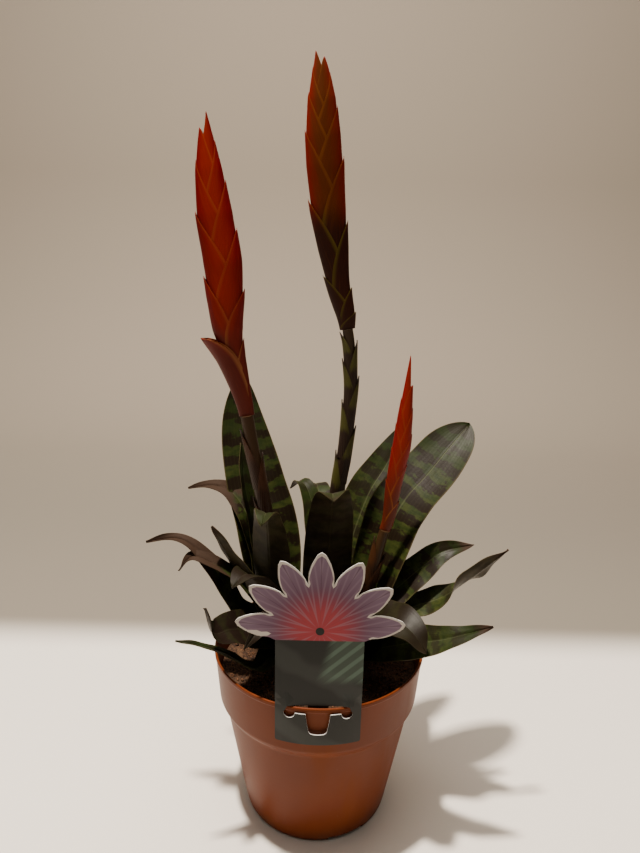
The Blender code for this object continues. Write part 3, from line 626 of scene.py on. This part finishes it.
def leaf_path(plant, leaf):
    """The midline of a leaf, up its sheath and out through its points, and its heading. The sheath
    is longer where the first point lies higher."""
    (cx, cy), (lean_x, lean_y) = PLANTS[plant]
    radius, marks = leaf[0], leaf[7:]
    heading = unit(np.array((marks[0][0] - cx, marks[0][1] - cy)) * 0.6
                   + np.array((marks[-1][0] - cx, marks[-1][1] - cy)) * 0.4)
    rise = np.interp(marks[0][2], (95.0, 120.0), (9.0, 22.0))
    foot = (cx + radius * heading[0], cy + radius * heading[1], CROWN_FOOT)
    collar = (cx + lean_x * rise + (radius + 0.6) * heading[0],
              cy + lean_y * rise + (radius + 0.6) * heading[1], CROWN_FOOT + rise)
    return Path([foot, collar, *marks]), heading


class Sheets:
    """Thin closed sheets gathered into one mesh, with named values stored at every point. The value
    under is 0 on the front grid and 1 on the back one."""

    def __init__(self, labels):
        self.points = []
        self.faces = []
        self.values = {label: [] for label in (*labels, "under")}

    def add(self, front, back, values):
        """Joins two matching grids of points round their edges."""
        rows, columns = front.shape[:2]
        other = rows * columns
        start = len(self.points)
        self.points += front.reshape(-1, 3).tolist() + back.reshape(-1, 3).tolist()
        for label, grid in values.items():
            self.values[label] += np.broadcast_to(grid, (rows, columns)).reshape(-1).tolist() * 2
        self.values["under"] += [0.0] * other + [1.0] * other
        for i in range(rows - 1):
            for j in range(columns - 1):
                a = start + i * columns + j
                b = a + other
                self.faces.append((a, a + 1, a + columns + 1, a + columns))
                self.faces.append((b, b + columns, b + columns + 1, b + 1))
        edge = list(range(columns)) + [i * columns + columns - 1 for i in range(1, rows)]
        edge += [(rows - 1) * columns + j for j in range(columns - 2, -1, -1)]
        edge += [i * columns for i in range(rows - 2, 0, -1)]
        for a, b in zip(edge, edge[1:] + edge[:1]):
            self.faces.append((start + a, start + other + a, start + other + b, start + b))

    def piece(self, name, paint):
        made = make_piece(name, self.points, self.faces, paint, 180)
        outward(made, merge=False)
        for label, numbers in self.values.items():
            made.data.attributes.new(label, "FLOAT", "POINT").data.foreach_set("value", numbers)
        made.data.set_sharp_from_angle(angle=math.radians(SHEET_CREASE))
        return made


def add_leaf(sheets, plant, leaf, rng, gloom):
    """One strap leaf with a shallow midrib channel, rippled edges and a tip of its own."""
    path, heading = leaf_path(plant, leaf)
    radius, widest, twist, swirl, late, dry, ripple = leaf[:7]
    phase = rng.uniform(0, 6.28)
    seed = rng.uniform(0, 1)
    front = np.zeros((len(LEAF_STATIONS), len(LEAF_ARMS), 3))
    back = front.copy()
    for i, share in enumerate(LEAF_STATIONS):
        place, direction = path.at(share * path.length)
        across = np.array((-heading[1], heading[0], 0.0))
        across = unit(across - direction * across.dot(direction))
        up = np.cross(direction, across)
        outer_part = min(max((share - 0.5) / 0.4, 0.0), 1.0)
        swirled = swirl * outer_part**2 * (3 - 2 * outer_part)
        turn = math.radians(twist * min(share / 0.6, 1.0) + swirled)
        across, up = (across * math.cos(turn) + up * math.sin(turn),
                      up * math.cos(turn) - across * math.sin(turn))
        opened = min(share / SHEATH_SHARE, 1.0)
        bend = 1.2 * (1 - opened) ** 1.5 + 0.32 + dry * 1.2 * max(share - 0.8, 0) / 0.2
        foot_half = radius * FOOT_WRAP
        half = foot_half + (widest - foot_half) * (0.5 - 0.5 * math.cos(math.pi * opened))
        half = max(half * (1 - share**late) ** 0.75, TIP_HALF_WIDTH)
        for j, arm in enumerate(LEAF_ARMS):
            angle = bend * arm
            surface = (place + across * (half / bend) * math.sin(angle)
                       + up * (half / bend) * (1 - math.cos(angle)))
            edge_wave = (math.sin(share * 17 + phase + 2.2 * (arm > 0))
                         + 0.5 * math.sin(share * 41 + 2 * phase))
            midrib = 0.5 * opened * max(0, 1 - abs(arm) * 4)
            surface = surface + up * (ripple * edge_wave * arm**2 * opened - midrib)
            normal = up * math.cos(angle) - across * math.sin(angle)
            thick = LEAF_HALF_THICKNESS * (1 - 0.5 * arm**4)
            front[i, j] = surface + normal * thick
            back[i, j] = surface - normal * thick
    along = LEAF_STATIONS[:, None]
    sheets.add(front, back, {
        "along_mm": along * path.length,
        "share": along,
        "arm": LEAF_ARMS[None, :],
        "seed": seed,
        "dry": dry * np.ones_like(along),
        "gloom": gloom,
    })


def leaf_material():
    paint = Paint("banded leaf", 0.4, Specular_IOR_Level=0.12)
    along, arm, share, seed = paint.attributes("along_mm", "arm", "share", "seed")
    dry, under, gloom = paint.attributes("dry", "under", "gloom")
    side = abs(arm)
    grid = paint.vector(arm * 0.9, along * 0.11, seed * 40.0)
    ragged = paint.noise(5.0, 4, where=grid, rough=0.6)
    broad = paint.noise(1.6, 2, where=grid)
    wave = (along + ragged * 9.0 + broad * 14.0 + seed * 13.0) * (2 * math.pi / BAND_LENGTH)
    wave = wave.sine()
    bands = wave.step(-0.35, 0.45)
    strength = (1.0 - share.step(0.75, 1.0) * 0.35) * (0.6 + 0.4 * seed.step(0.1, 0.6))
    green = paint.mix(paint.noise(3.0, 3, where=grid).step(0.3, 0.7),
                      (0.013, 0.020, 0.004), (0.032, 0.038, 0.008))
    pale = paint.mix(share.step(0.5, 1.0), green, (0.012, 0.018, 0.004))
    tone = paint.mix(bands * strength, pale, (0.010, 0.006, 0.003))
    tone = paint.mix(side.step(0.955, 0.99) * 0.5, tone, (0.09, 0.07, 0.025))
    veins = (arm * 46.0).sine()
    tone = paint.mix(veins.step(0.6, 1.0) * 0.04, tone, (0.08, 0.09, 0.03))
    midrib = 1.0 - side.step(0.0, 0.05)
    tone = paint.mix(midrib * 0.3, tone, (0.10, 0.11, 0.05))
    back_tone = paint.mix(broad.step(0.35, 0.65), (0.030, 0.022, 0.012), (0.062, 0.046, 0.026))
    tone = paint.mix(under * 0.65, tone, back_tone)
    foot = 1.0 - share.step(0.08, 0.3)
    tone = paint.mix(foot * 0.85, tone, (0.020, 0.011, 0.008))
    crisp = (share + side * 0.05 * dry + ragged * 0.06).step(0.93, 1.0) * dry.step(0.0, 0.3)
    far_in = (share + side * 0.1 + ragged * 0.12 - 0.98 + dry * 0.35).step(0.0, 0.08)
    crisp = crisp.most(far_in * dry.step(0.3, 0.5))
    # Painted shade: the listed leaves turn near black-purple all over
    tone = paint.mix(gloom, tone, (0.012, 0.007, 0.005))
    tone = paint.mix(crisp, tone, (0.030, 0.016, 0.009))
    bloom = paint.noise(0.9, 3, where=grid).step(0.5, 0.75)
    rough = 0.44 + bloom * 0.12 + crisp * 0.3
    return paint.finish(tone, rough, veins * 0.05 + ragged * 0.6 - midrib, 0.00018, 0.5)


leaf_paint = leaf_material()
for number, (plant, leaves) in enumerate(LEAVES.items()):
    rng = random.Random(11 + number)
    sheets = Sheets(("along_mm", "share", "arm", "seed", "dry", "gloom"))
    for order, leaf in enumerate(leaves):
        add_leaf(sheets, plant, leaf, rng, PAINTED_SHADE_STRENGTH if (plant, order) in LEAVES_WITH_PAINTED_SHADE else 0.0)
    rosette = sheets.piece(f"leaves_{plant}", leaf_paint)
    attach(rosette, "root")
    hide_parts(f"rosette_{plant}")


# Flower stalks
# Firm round stalks, each clasped by short sheath leaves that overlap like tiles and end in a dark
# point. Those of the middle stalk are olive green below their tips, the others a warmer brown.

STALK_LINES = {
    "left": [(-17, 0, 82.3), (-17.2, 0, 96), (-20.2, -0.6, 118), (-26, -1.4, 150), (-32, -2, 184),
             (-37, -2, 210), (-41, -2, 234)],
    "middle": [(1, 14, 82.3), (1.1, 14, 96), (3, 13.2, 122), (5.6, 12.4, 155), (9, 12, 191),
               (11.3, 12, 207), (12.8, 12, 225), (14, 12, 247), (12.6, 12, 270), (11.2, 12, 279)],
    "right": [(17, -2, 82.3), (17.2, -2, 96), (20.5, -3.2, 114), (26.3, -4.6, 136), (31.5, -5, 160),
              (34.4, -5, 172)],
}
# Pairs of height and radius
STALK_RADII = {
    "left": [(82, 4.2), (180, 3.9), (234, 3.6)],
    "middle": [(82, 4.4), (190, 4.1), (225, 3.4), (279, 3.0)],
    "right": [(82, 4.2), (136, 3.8), (172, 2.9)],
}
# Each sheath: height of its foot, length and side
SHEATHS = {
    "left": [(128, 38, 1), (152, 38, -1), (176, 38, 1), (194, 34, -1)],
    "middle": [(130, 38, -1), (152, 38, 1), (174, 38, -1), (193, 34, 1), (208, 33, -1),
               (221, 33, 1), (234, 30, -1), (244, 29, 1), (256, 26, -1)],
    "right": [(112, 34, -1), (128, 32, 1), (140, 28, -1)],
}
# Each stalk's finish: its name, the colour low on a sheath, that below its tip and that of its tip
STALK_TONES = {
    "left": ("stalk sheath red brown",
             (0.026, 0.007, 0.003), (0.052, 0.016, 0.006), (0.018, 0.006, 0.003)),
    "middle": ("stalk sheath olive",
               (0.020, 0.009, 0.006), (0.060, 0.055, 0.010), (0.018, 0.009, 0.006)),
    "right": ("stalk sheath brown",
              (0.032, 0.011, 0.004), (0.060, 0.020, 0.006), (0.024, 0.008, 0.004)),
}
# How far a sheath stands off its stalk, and how far below the stalk's top the last one ends
SHEATH_GAP = 0.35
SHEATH_END = 0.6
ROD_STEPS = 60
ROD_SIDES = 24
BRACT_STATIONS = 1 - (1 - np.linspace(0, 1, 30)) ** 1.25
BRACT_ARMS = np.linspace(-1, 1, 21)


def by_height(pairs, height):
    return float(np.interp(height, [pair[0] for pair in pairs], [pair[1] for pair in pairs]))


def add_bract(sheets, path, start, length, side, half_at, flat, lift, rng,
              thin=0.3, spread=0.0, slim=0.9, blunt=0.7):
    """A boat-shaped bract that clasps the axis and runs out to a point at one side. It is flat
    times as deep as wide and slim times full size at its foot. Lift holds its tip off, spread its
    whole mouth, and a smaller blunt keeps it broad for longer."""
    front = np.zeros((len(BRACT_STATIONS), len(BRACT_ARMS), 3))
    back = front.copy()
    around = np.zeros(front.shape[:2])
    seed = rng.uniform(0, 1)
    skew = rng.uniform(-0.06, 0.06)
    for i, u in enumerate(BRACT_STATIONS):
        place, direction = path.at(start + u * length)
        across = unit(np.cross(direction, (0, -1, 0)))
        ahead = np.cross(across, direction)
        half = half_at(place[2])
        size = slim + (1.04 - slim) * u
        wide = max(half * size, 0.8) + lift * u**3 + spread * u**1.5
        centre = 0.5 * spread * u**1.5
        deep = max(half * flat * (1.06 - 1.5 * (1.04 - size)), 0.45) + 0.4 * centre
        reach = max(0.93 * math.pi * (1 - u) ** blunt, 0.03)
        for j, arm in enumerate(BRACT_ARMS):
            angle = reach * (arm + skew * (1 - arm * arm))
            sideways = side * across * math.cos(angle)
            forward_part = ahead * math.sin(angle)
            edge = thin * (1 - 0.6 * abs(arm) ** 3)
            middle = place + side * across * centre
            around[i, j] = abs(angle) / (math.pi / 2)
            front[i, j] = middle + sideways * (wide - centre + edge) + forward_part * (deep + edge)
            back[i, j] = middle + sideways * (wide - centre - edge) + forward_part * (deep - edge)
    sheets.add(front, back, {
        "u": BRACT_STATIONS[:, None],
        "arm": BRACT_ARMS[None, :],
        "around": around,
        "height": front[:, :, 2],
        "seed": seed,
    })


def add_rod(sheets, path, radius_at, low, high, flat=1.0):
    """The round core of a stalk or flower head, tapered and closed."""
    front = np.zeros((ROD_STEPS, ROD_SIDES + 1, 3))
    back = front.copy()
    for i, height in enumerate(np.linspace(low, high, ROD_STEPS)):
        place, direction = path.at(path.distance_at_height(height))
        across = unit(np.cross(direction, (0, -1, 0)))
        ahead = np.cross(across, direction)
        radius = radius_at(height)
        for k in range(ROD_SIDES + 1):
            angle = 2 * math.pi * k / ROD_SIDES
            ray = across * math.cos(angle) + ahead * flat * math.sin(angle)
            front[i, k] = place + ray * radius
            back[i, k] = place + ray * radius * 0.05
    sheets.add(front, back,
               {"u": 0.25, "arm": 0.0, "around": 1.0, "height": front[:, :, 2], "seed": 0.5})


def stalk_material(name, low_tone, high_tone, tip_tone):
    paint = Paint(name, 0.42, Specular_IOR_Level=0.2)
    u, arm, seed = paint.attributes("u", "arm", "seed")
    grid = paint.vector(arm * 2.0, u * 1.4, seed * 30.0)
    cloud = paint.noise(2.5, 4, where=grid, rough=0.6)
    level = u + cloud * 0.25 - 0.12
    tone = paint.mix(level.step(0.42, 0.56), low_tone, high_tone)
    tone = paint.mix(level.step(0.82, 0.92), tone, tip_tone)
    streak = (arm * 60.0 + cloud * 4.0).sine()
    tone = paint.mix(streak.step(0.3, 1.0) * 0.15, tone, (0.10, 0.075, 0.025))
    tone = paint.mix(abs(arm).step(0.93, 1.0) * 0.5, tone, tip_tone)
    return paint.finish(tone, 0.38 + cloud * 0.14, streak * 0.5 + cloud, 0.0002, 0.5)


for number, plant in enumerate(STALK_LINES):
    rng = random.Random(31 + number)
    path = Path(STALK_LINES[plant])
    radii = STALK_RADII[plant]
    sheets = Sheets(("u", "arm", "around", "height", "seed"))
    low, high = STALK_LINES[plant][0][2], STALK_LINES[plant][-1][2]
    add_rod(sheets, path, lambda h: by_height(radii, h) - 0.2, low, high)
    for foot, length, side in SHEATHS[plant]:
        start = path.distance_at_height(foot)
        length = min(length, path.length - SHEATH_END - start)
        add_bract(sheets, path, start, length, side, lambda h: by_height(radii, h) + SHEATH_GAP,
                  flat=1.0, lift=0.7, rng=rng)
    stalk = sheets.piece(f"flower_stalk_{plant}", stalk_material(*STALK_TONES[plant]))
    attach(stalk, "root")
    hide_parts(f"stalk_{plant}")


# Flower heads
# Flat swords of waxy boat-shaped bracts in two rows, each folded round the axis and overlapping
# the next. The left and right ones are red, the middle one is orange above and maroon below.

SWORD_LINES = {
    "left": [(-47, -2, 264), (-50.5, -2, 279), (-51.5, -2, 295), (-52.8, -2, 313), (-56.3, -2, 335),
             (-59, -2, 360), (-60.4, -2, 381)],
    "middle": [(5.3, 12, 304), (-0.5, 12, 339), (-3.7, 12, 371), (-5, 12, 391), (-6, 12, 405),
               (-7.2, 12, 413)],
    "right": [(38.5, -5, 202), (41, -5, 219), (42, -5, 235), (43, -5, 253), (44.2, -5, 269)],
}
# Pairs of height and half-width
SWORD_HALF_WIDTHS = {
    "left": [(234, 4.6), (250, 5.0), (264, 5.6), (271, 6.4), (279, 8.0), (295, 9.4), (312, 9.9),
             (335, 8.9), (355, 6.4), (369, 3.6), (381, 0.8)],
    "middle": [(279, 4.6), (290, 5.6), (306, 6.6), (320, 8.0), (339, 9.2), (360, 9.4), (375, 8.6),
               (391, 6.6), (404, 3.6), (413, 0.9)],
    "right": [(172, 3.4), (187, 3.9), (202, 4.4), (219, 4.8), (235, 3.9), (253, 2.0), (269, 0.7)],
}
# Each bract: height of its tip, length and side
SWORD_BRACTS = {
    "left": [(273, 36, 1), (277, 41, -1), (276, 38, -1), (299, 50, 1), (306, 52, -1), (327, 54, 1),
             (337, 54, -1), (350, 52, 1), (360, 50, -1), (368, 46, 1), (374, 46, -1), (381, 42, 1)],
    "middle": [(287, 30, 1), (299.5, 36, 1), (308, 38, -1), (333, 50, 1), (345, 52, -1),
               (364, 54, 1), (377, 52, -1), (387.5, 48, 1), (394, 46, -1), (402, 42, 1),
               (405, 40, -1), (409, 36, 1), (412, 36, -1)],
    "right": [(190, 24, 1), (201, 30, -1), (211, 34, 1), (219, 36, -1), (227, 36, 1),
              (232.5, 38, -1), (241, 36, 1), (246, 36, -1), (253, 36, 1), (268, 40, -1)],
}
# How far two bracts under the left head stand open, by their place in the list
LEFT_OPENINGS = {1: 6.5, 2: 3.5}
HEAD_GAP = 0.1
HEAD_FLATNESS = 0.42
CORE_FLATNESS = 0.4
CORE_END = 18


def bract_material(name, keel, body, margin, young, young_margin, ripe_from, ripe_to):
    """Waxy bract: keel colour down its back, body colour round its side and a thin margin. It is
    still young below one height and ripe above another."""
    paint = Paint(name, 0.3, Specular_IOR_Level=0.2)
    u, arm, seed, around, height = paint.attributes("u", "arm", "seed", "around", "height")
    grid = paint.vector(arm * 3.0, u * 1.2, seed * 30.0)
    cloud = paint.noise(1.8, 4, where=grid, rough=0.55)
    fine = paint.noise(9.0, 3, where=paint.vector(arm * 4.0, u * 0.5, seed * 9.0))
    side = abs(arm)
    edge = side.step(0.86, 0.95)
    ripe = paint.mix((around + cloud * 0.5 - 0.25).step(0.15, 0.9), keel, body)
    ripe = paint.mix(edge * 0.45, ripe, margin)
    green = paint.mix(side.step(0.80, 0.97) * 0.8, young, young_margin)
    tone = paint.mix((height + cloud * 12.0 - 6.0).step(ripe_from, ripe_to), green, ripe)
    tone = paint.mix(fine.step(0.5, 0.75) * 0.12, tone, margin)
    return paint.finish(tone, 0.28 + cloud * 0.14, fine + cloud * 0.5, 0.0003, 0.3)


red_paint = bract_material(
    "red bract",
    keel=(0.15, 0.001, 0.002), body=(0.25, 0.010, 0.001), margin=(0.30, 0.050, 0.010),
    young=(0.095, 0.010, 0.005), young_margin=(0.25, 0.09, 0.03), ripe_from=258.0, ripe_to=296.0,
)
flame_paint = bract_material(
    "flame bract",
    keel=(0.20, 0.002, 0.001), body=(0.27, 0.012, 0.001), margin=(0.30, 0.050, 0.008),
    young=(0.12, 0.016, 0.004), young_margin=(0.30, 0.08, 0.012), ripe_from=182.0, ripe_to=214.0,
)
ember_paint = bract_material(
    "ember bract",
    keel=(0.17, 0.006, 0.001), body=(0.095, 0.019, 0.001), margin=(0.19, 0.055, 0.003),
    young=(0.028, 0.006, 0.002), young_margin=(0.085, 0.060, 0.006), ripe_from=326.0, ripe_to=346.0,
)

sword_looks = {"left": (red_paint, "red_bract"), "middle": (ember_paint, "orange_bract"),
               "right": (flame_paint, "red_bract")}
for number, (plant, (paint, slot)) in enumerate(sword_looks.items()):
    rng = random.Random(51 + number)
    stalk_path = Path(STALK_LINES[plant])
    foot = stalk_path.at(stalk_path.length + HEAD_GAP)[0]
    path = Path([foot, stalk_path.at(stalk_path.length + 8)[0], *SWORD_LINES[plant]])
    halves = SWORD_HALF_WIDTHS[plant]
    low, high = path.points[0][2], path.points[-1][2]
    sheets = Sheets(("u", "arm", "around", "height", "seed"))

    def core_radius(h):
        return max(by_height(halves, h) * 0.5 * min(1.0, (high - h) / 40.0), 0.3)

    add_rod(sheets, path, core_radius, low, high - CORE_END, flat=CORE_FLATNESS)
    for order, (tip, length, side) in enumerate(SWORD_BRACTS[plant]):
        start = 0.0 if order < 2 else max(path.distance_at_height(tip) - length, 0.0)
        reach = path.distance_at_height(tip) - start
        opening = LEFT_OPENINGS.get(order, 0.0) if plant == "left" else 0.0
        blunt = 0.32 if opening or order >= len(SWORD_BRACTS[plant]) - 2 else 0.62
        add_bract(sheets, path, start, reach, side, lambda h: by_height(halves, h),
                  flat=HEAD_FLATNESS, lift=0.15, rng=rng, thin=0.13, spread=opening, slim=0.86,
                  blunt=blunt)
    sword = sheets.piece(f"flower_head_{plant}", paint)
    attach(sword, "root")
    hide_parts(f"sword_{plant}")


# Label card
# One sheet of printed card, die-cut and slit so that it grips the rim: the strip hangs outside the
# pot and the tongue inside. The front is slate grey with pale leaves, the fan mauve and rose.

CARD_HALF_WIDTH = 21.5
FAN_Z = 142.0
FAN_FIRST = 6.0
FAN_SPREAD = 28.0
FAN_LOBES = 7
FAN_INNER = 25.0
FAN_REACH = 16.0
# How far a lobe reaches at shares of its angle from its own axis
LOBE_SHAPE = [(0.0, 1.0), (0.1, 0.92), (0.27, 0.62), (0.42, 0.30), (0.5, 0.0)]
CARD_FOOT = 80.0
CARD_TOP = 137.0
CARD_DISTANCE = 57.9
CARD_HALF_THICKNESS = 0.3
CARD_WRAP_RADIUS = 60.8
SLIT_HEIGHT = 97.4


def card_outline():
    """The outer edge of the card, round its strip and the lobes of its fan."""
    side = CARD_HALF_WIDTH
    outline = [(-side + 1, CARD_FOOT), (side - 1, CARD_FOOT), (side - 0.3, CARD_FOOT + 0.3),
               (side, CARD_FOOT + 1), (side, CARD_TOP)]
    for lobe in range(FAN_LOBES):
        for share in np.arange(-0.5, 0.49, 0.05):
            angle = math.radians(FAN_FIRST + FAN_SPREAD * (lobe + share))
            reach = np.interp(abs(share), *zip(*LOBE_SHAPE))
            radius = FAN_INNER + FAN_REACH * reach
            outline.append((radius * math.cos(angle), FAN_Z + radius * math.sin(angle)))
    outline.append((-outline[5][0], outline[5][1]))
    return outline + [(-side, CARD_TOP), (-side, CARD_FOOT + 1), (-side + 0.3, CARD_FOOT + 0.3)]


def card_opening():
    """The slit that takes the rim, with the gap round the tongue."""
    right = [(16.7, 98.0), (17.2, 97.3), (17.1, 96.6), (16.9, 95.8), (16.4, 95.2), (15.8, 94.7),
             (15.0, 94.5), (14.2, 94.4), (13.4, 94.6), (12.7, 95.0), (12.1, 95.6), (11.7, 96.5),
             (11.5, SLIT_HEIGHT)]
    tongue_gap = [(6.2, SLIT_HEIGHT), (5.4, 92.0), (4.6, 87.6), (4.0, 86.7), (3.2, 86.2),
                  (1.6, 85.9), (0.0, 85.8)]
    half = [(15.5, 100.7)] + right + tongue_gap
    return half + [(-px, pz) for px, pz in reversed(half[:-1])]


def card_bend(px, pz):
    """How far back the card lies at a point, bent round the pot below the rim."""
    wrapped = CARD_DISTANCE - math.sqrt(CARD_WRAP_RADIUS**2 - min(abs(px), 30.0) ** 2)
    if pz <= SLIT_HEIGHT + 0.01:
        return wrapped
    beside = min(max((abs(px) - 12.0) / 3.5, 0.0), 1.0)
    return wrapped * beside * min(max((108.0 - pz) / 7.3, 0.0), 1.0)


curve = bpy.data.curves.new("card outline", "CURVE")
curve.dimensions = "2D"
curve.fill_mode = "BOTH"
curve.extrude = CARD_HALF_THICKNESS * MM
for loop in (card_outline(), card_opening()):
    spline = curve.splines.new("POLY")
    spline.points.add(len(loop) - 1)
    for point, (px, pz) in zip(spline.points, loop):
        point.co = (px * MM, pz * MM, 0.0, 1.0)
    spline.use_cyclic_u = True
flat_card = bpy.data.objects.new("flat card", curve)
bpy.context.scene.collection.objects.link(flat_card)
graph = bpy.context.evaluated_depsgraph_get()
mesh = bpy.data.meshes.new_from_object(flat_card.evaluated_get(graph))
bpy.data.objects.remove(flat_card)
work = bmesh.new()
work.from_mesh(mesh)
bmesh.ops.remove_doubles(work, verts=work.verts, dist=MERGE_DISTANCE)
# The card is cut along these lines so that it can bend
levels = (88, 92.5, SLIT_HEIGHT, 100.7, 104, 108, 122, CARD_TOP)
cuts = [((0, h * MM, 0), (0, 1, 0)) for h in levels]
cuts += [((w * MM, 0, 0), (1, 0, 0)) for w in range(-21, 22, 3)]
for place, normal in cuts:
    every = list(work.verts) + list(work.edges) + list(work.faces)
    bmesh.ops.bisect_plane(work, geom=every, plane_co=place, plane_no=normal, dist=0.0000005)
bmesh.ops.triangulate(work, faces=work.faces)
for vertex in work.verts:
    px, pz, layer = (c / MM for c in vertex.co)
    vertex.co = (px * MM, (-CARD_DISTANCE + card_bend(px, pz) - layer) * MM, pz * MM)
bmesh.ops.recalc_face_normals(work, faces=work.faces)
work.to_mesh(mesh)
work.free()

board = Paint("printed card", 0.42, Specular_IOR_Level=0.2)
x, _, z = board.axes()
out_x = x * 1000.0
up_z = z * 1000.0 - FAN_Z
radius = (out_x * out_x + up_z * up_z) ** 0.5
angle = board.add("ShaderNodeMath", {"operation": "ARCTAN2"}, {0: up_z, 1: out_x})
angle = angle * (180 / math.pi)
lobe = ((angle - FAN_FIRST) / FAN_SPREAD + 0.5).part() - 0.5
off_axis = abs(lobe)
lobe_shape = board.add("ShaderNodeValToRGB", {"stops": LOBE_SHAPE}, {"Fac": off_axis})
rim_at = lobe_shape * FAN_REACH + FAN_INNER
from_notch = radius * (0.5 - off_axis) * 0.735 + 40.0 * (1.0 - radius.step(8.0, 26.0))
inset = (rim_at - radius).least(from_notch)
border = 1.0 - inset.step(1.5, 1.9)
in_fan = radius.step(2.0, 2.2) * (up_z + 5.0).step(-0.2, 0.2)
ribs = (off_axis * radius * 1.1 - radius * 0.35).sine()
mauve = board.mix(radius.step(12.0, 38.0), (0.115, 0.045, 0.085), (0.20, 0.135, 0.20))
rose = 1.0 - radius.step(8.0, 25.0)
petal = board.mix(rose, mauve, (0.36, 0.045, 0.060))
petal = board.mix(ribs.step(0.2, 1.0) * 0.35, petal, (0.30, 0.22, 0.28))
petal = board.mix((1.0 - off_axis.step(0.0, 0.02)) * 0.6, petal, (0.07, 0.03, 0.05))
height = z * 1000.0
slant = out_x * 0.55 + height
leafy = (slant * 0.16 + board.noise(35, 2) * 3.0).sine()
ground = board.mix(leafy.step(0.2, 0.9), (0.016, 0.018, 0.017), (0.032, 0.036, 0.034))
frond = ((out_x * 0.9 - height) * 0.9).sine().step(0.0, 0.6)
frond_field = (out_x + 26.0 - (height - 100.0) * 0.25).step(20.0, 26.0) * height.step(112.0, 118.0)
ground = board.mix(frond_field * (0.35 + frond * 0.5), ground, (0.11, 0.17, 0.13))
picture = board.mix(border, petal, (0.62, 0.57, 0.52))
front_tone = board.mix(in_fan, ground, picture)
facing = board.add("ShaderNodeNewGeometry", None, None, "True Normal")
toward = board.add("ShaderNodeSeparateXYZ", None, {0: facing}, 1)
tone = board.mix(toward.step(-0.35, -0.25), front_tone, (0.60, 0.58, 0.55))
card_paint = board.finish(tone, 0.38 + board.noise(700, 2) * 0.1)

card = bpy.data.objects.new("label_sheet", mesh)
bpy.context.scene.collection.objects.link(card)
mesh.materials.clear()
mesh.materials.append(card_paint)
# Rows of the tongue: height, half-width and how far in it lies
TONGUE_ROWS = ((101.4, 5.2, 0.0), (100.6, 5.2, 0.15), (96.5, 5.0, 0.95), (91.5, 4.4, 1.6),
               (89.5, 3.8, 1.9), (88.9, 2.6, 2.0))
front = np.zeros((len(TONGUE_ROWS), 9, 3))
back = front.copy()
for i, (height, half, inward) in enumerate(TONGUE_ROWS):
    for j, share in enumerate(np.linspace(-1, 1, 9)):
        front[i, j] = (share * half, -CARD_DISTANCE - CARD_HALF_THICKNESS + inward, height)
        back[i, j] = (share * half, -CARD_DISTANCE + CARD_HALF_THICKNESS + inward, height)
sheets = Sheets(())
sheets.add(front, back, {})
tongue = sheets.piece("label_tongue", card_paint)
for piece in (card, tongue):
    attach(piece, "root")
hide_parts("label_card")


# Floor and light
# A cream sheet that runs level under the pot and curves up far behind it. Its colour holds painted
# light and shade: palest in a band where the pot stands, a painted pool of light, and darker in
# front of it and beyond it, painted shade. A small warm lamp almost overhead casts the shadows, a
# wide one above it softens them, and a weak one stands in front.

backdrop = Paint("cream sheet", 0.85)
y = backdrop.axes()[1]
# Painted pool of light round the pot, with painted shade darker towards the front and the back
tone = backdrop.mix(y.step(-0.35, -0.06), (0.30, 0.27, 0.23), (0.86, 0.80, 0.72))
tone = backdrop.mix(y.step(0.13, 0.185), tone, (0.20, 0.175, 0.14))
tone = backdrop.mix(y.step(0.35, 1.1), tone, (0.345, 0.295, 0.235))
floor_paint_with_painted_light = backdrop.finish(tone)

WALL_START = 700.0
WALL_CURVE = 500.0
SHEET_REACH = 3000.0
sweep = [(-2500.0, 0.0), (WALL_START, 0.0)]
for t in np.linspace(0.05, math.pi / 2, 24):
    sweep.append((WALL_START + WALL_CURVE * math.sin(t), WALL_CURVE - WALL_CURVE * math.cos(t)))
sweep.append((WALL_START + WALL_CURVE, SHEET_REACH))
points = [(px, py, pz) for py, pz in sweep for px in (-SHEET_REACH, SHEET_REACH)]
faces = [(2 * k, 2 * k + 1, 2 * k + 3, 2 * k + 2) for k in range(len(sweep) - 1)]
floor = make_piece("cream_sheet", points, faces, floor_paint_with_painted_light, 180)


def soft_light(name, place, aim, size, power, colour):
    """A square panel of light at a place in metres, turned to its aim."""
    panel = bpy.data.lights.new(name, "AREA")
    panel.size = size
    panel.energy = power
    panel.color = colour
    lamp = bpy.data.objects.new(name, panel)
    lamp.location = place
    lamp.rotation_euler = (Vector(aim) - Vector(place)).to_track_quat("-Z", "Y").to_euler()
    bpy.context.scene.collection.objects.link(lamp)


LAMP_COLOUR = (1.0, 0.90, 0.79)
soft_light("key", (-0.22, -0.085, 1.5), (0, 0, 0.1), 0.07, 50.0, LAMP_COLOUR)
soft_light("above", (0, 0.1, 1.8), (0, 0.05, 0), 1.5, 20.0, LAMP_COLOUR)
soft_light("front", (-0.5, -1.2, 0.9), (0, 0, 0.15), 1.2, 0.4, LAMP_COLOUR)
world = bpy.data.worlds.new("room")
world.use_nodes = True
background = world.node_tree.nodes["Background"].inputs
background["Color"].default_value = (1.0, 0.93, 0.84, 1.0)
background["Strength"].default_value = 0.06
bpy.context.scene.world = world
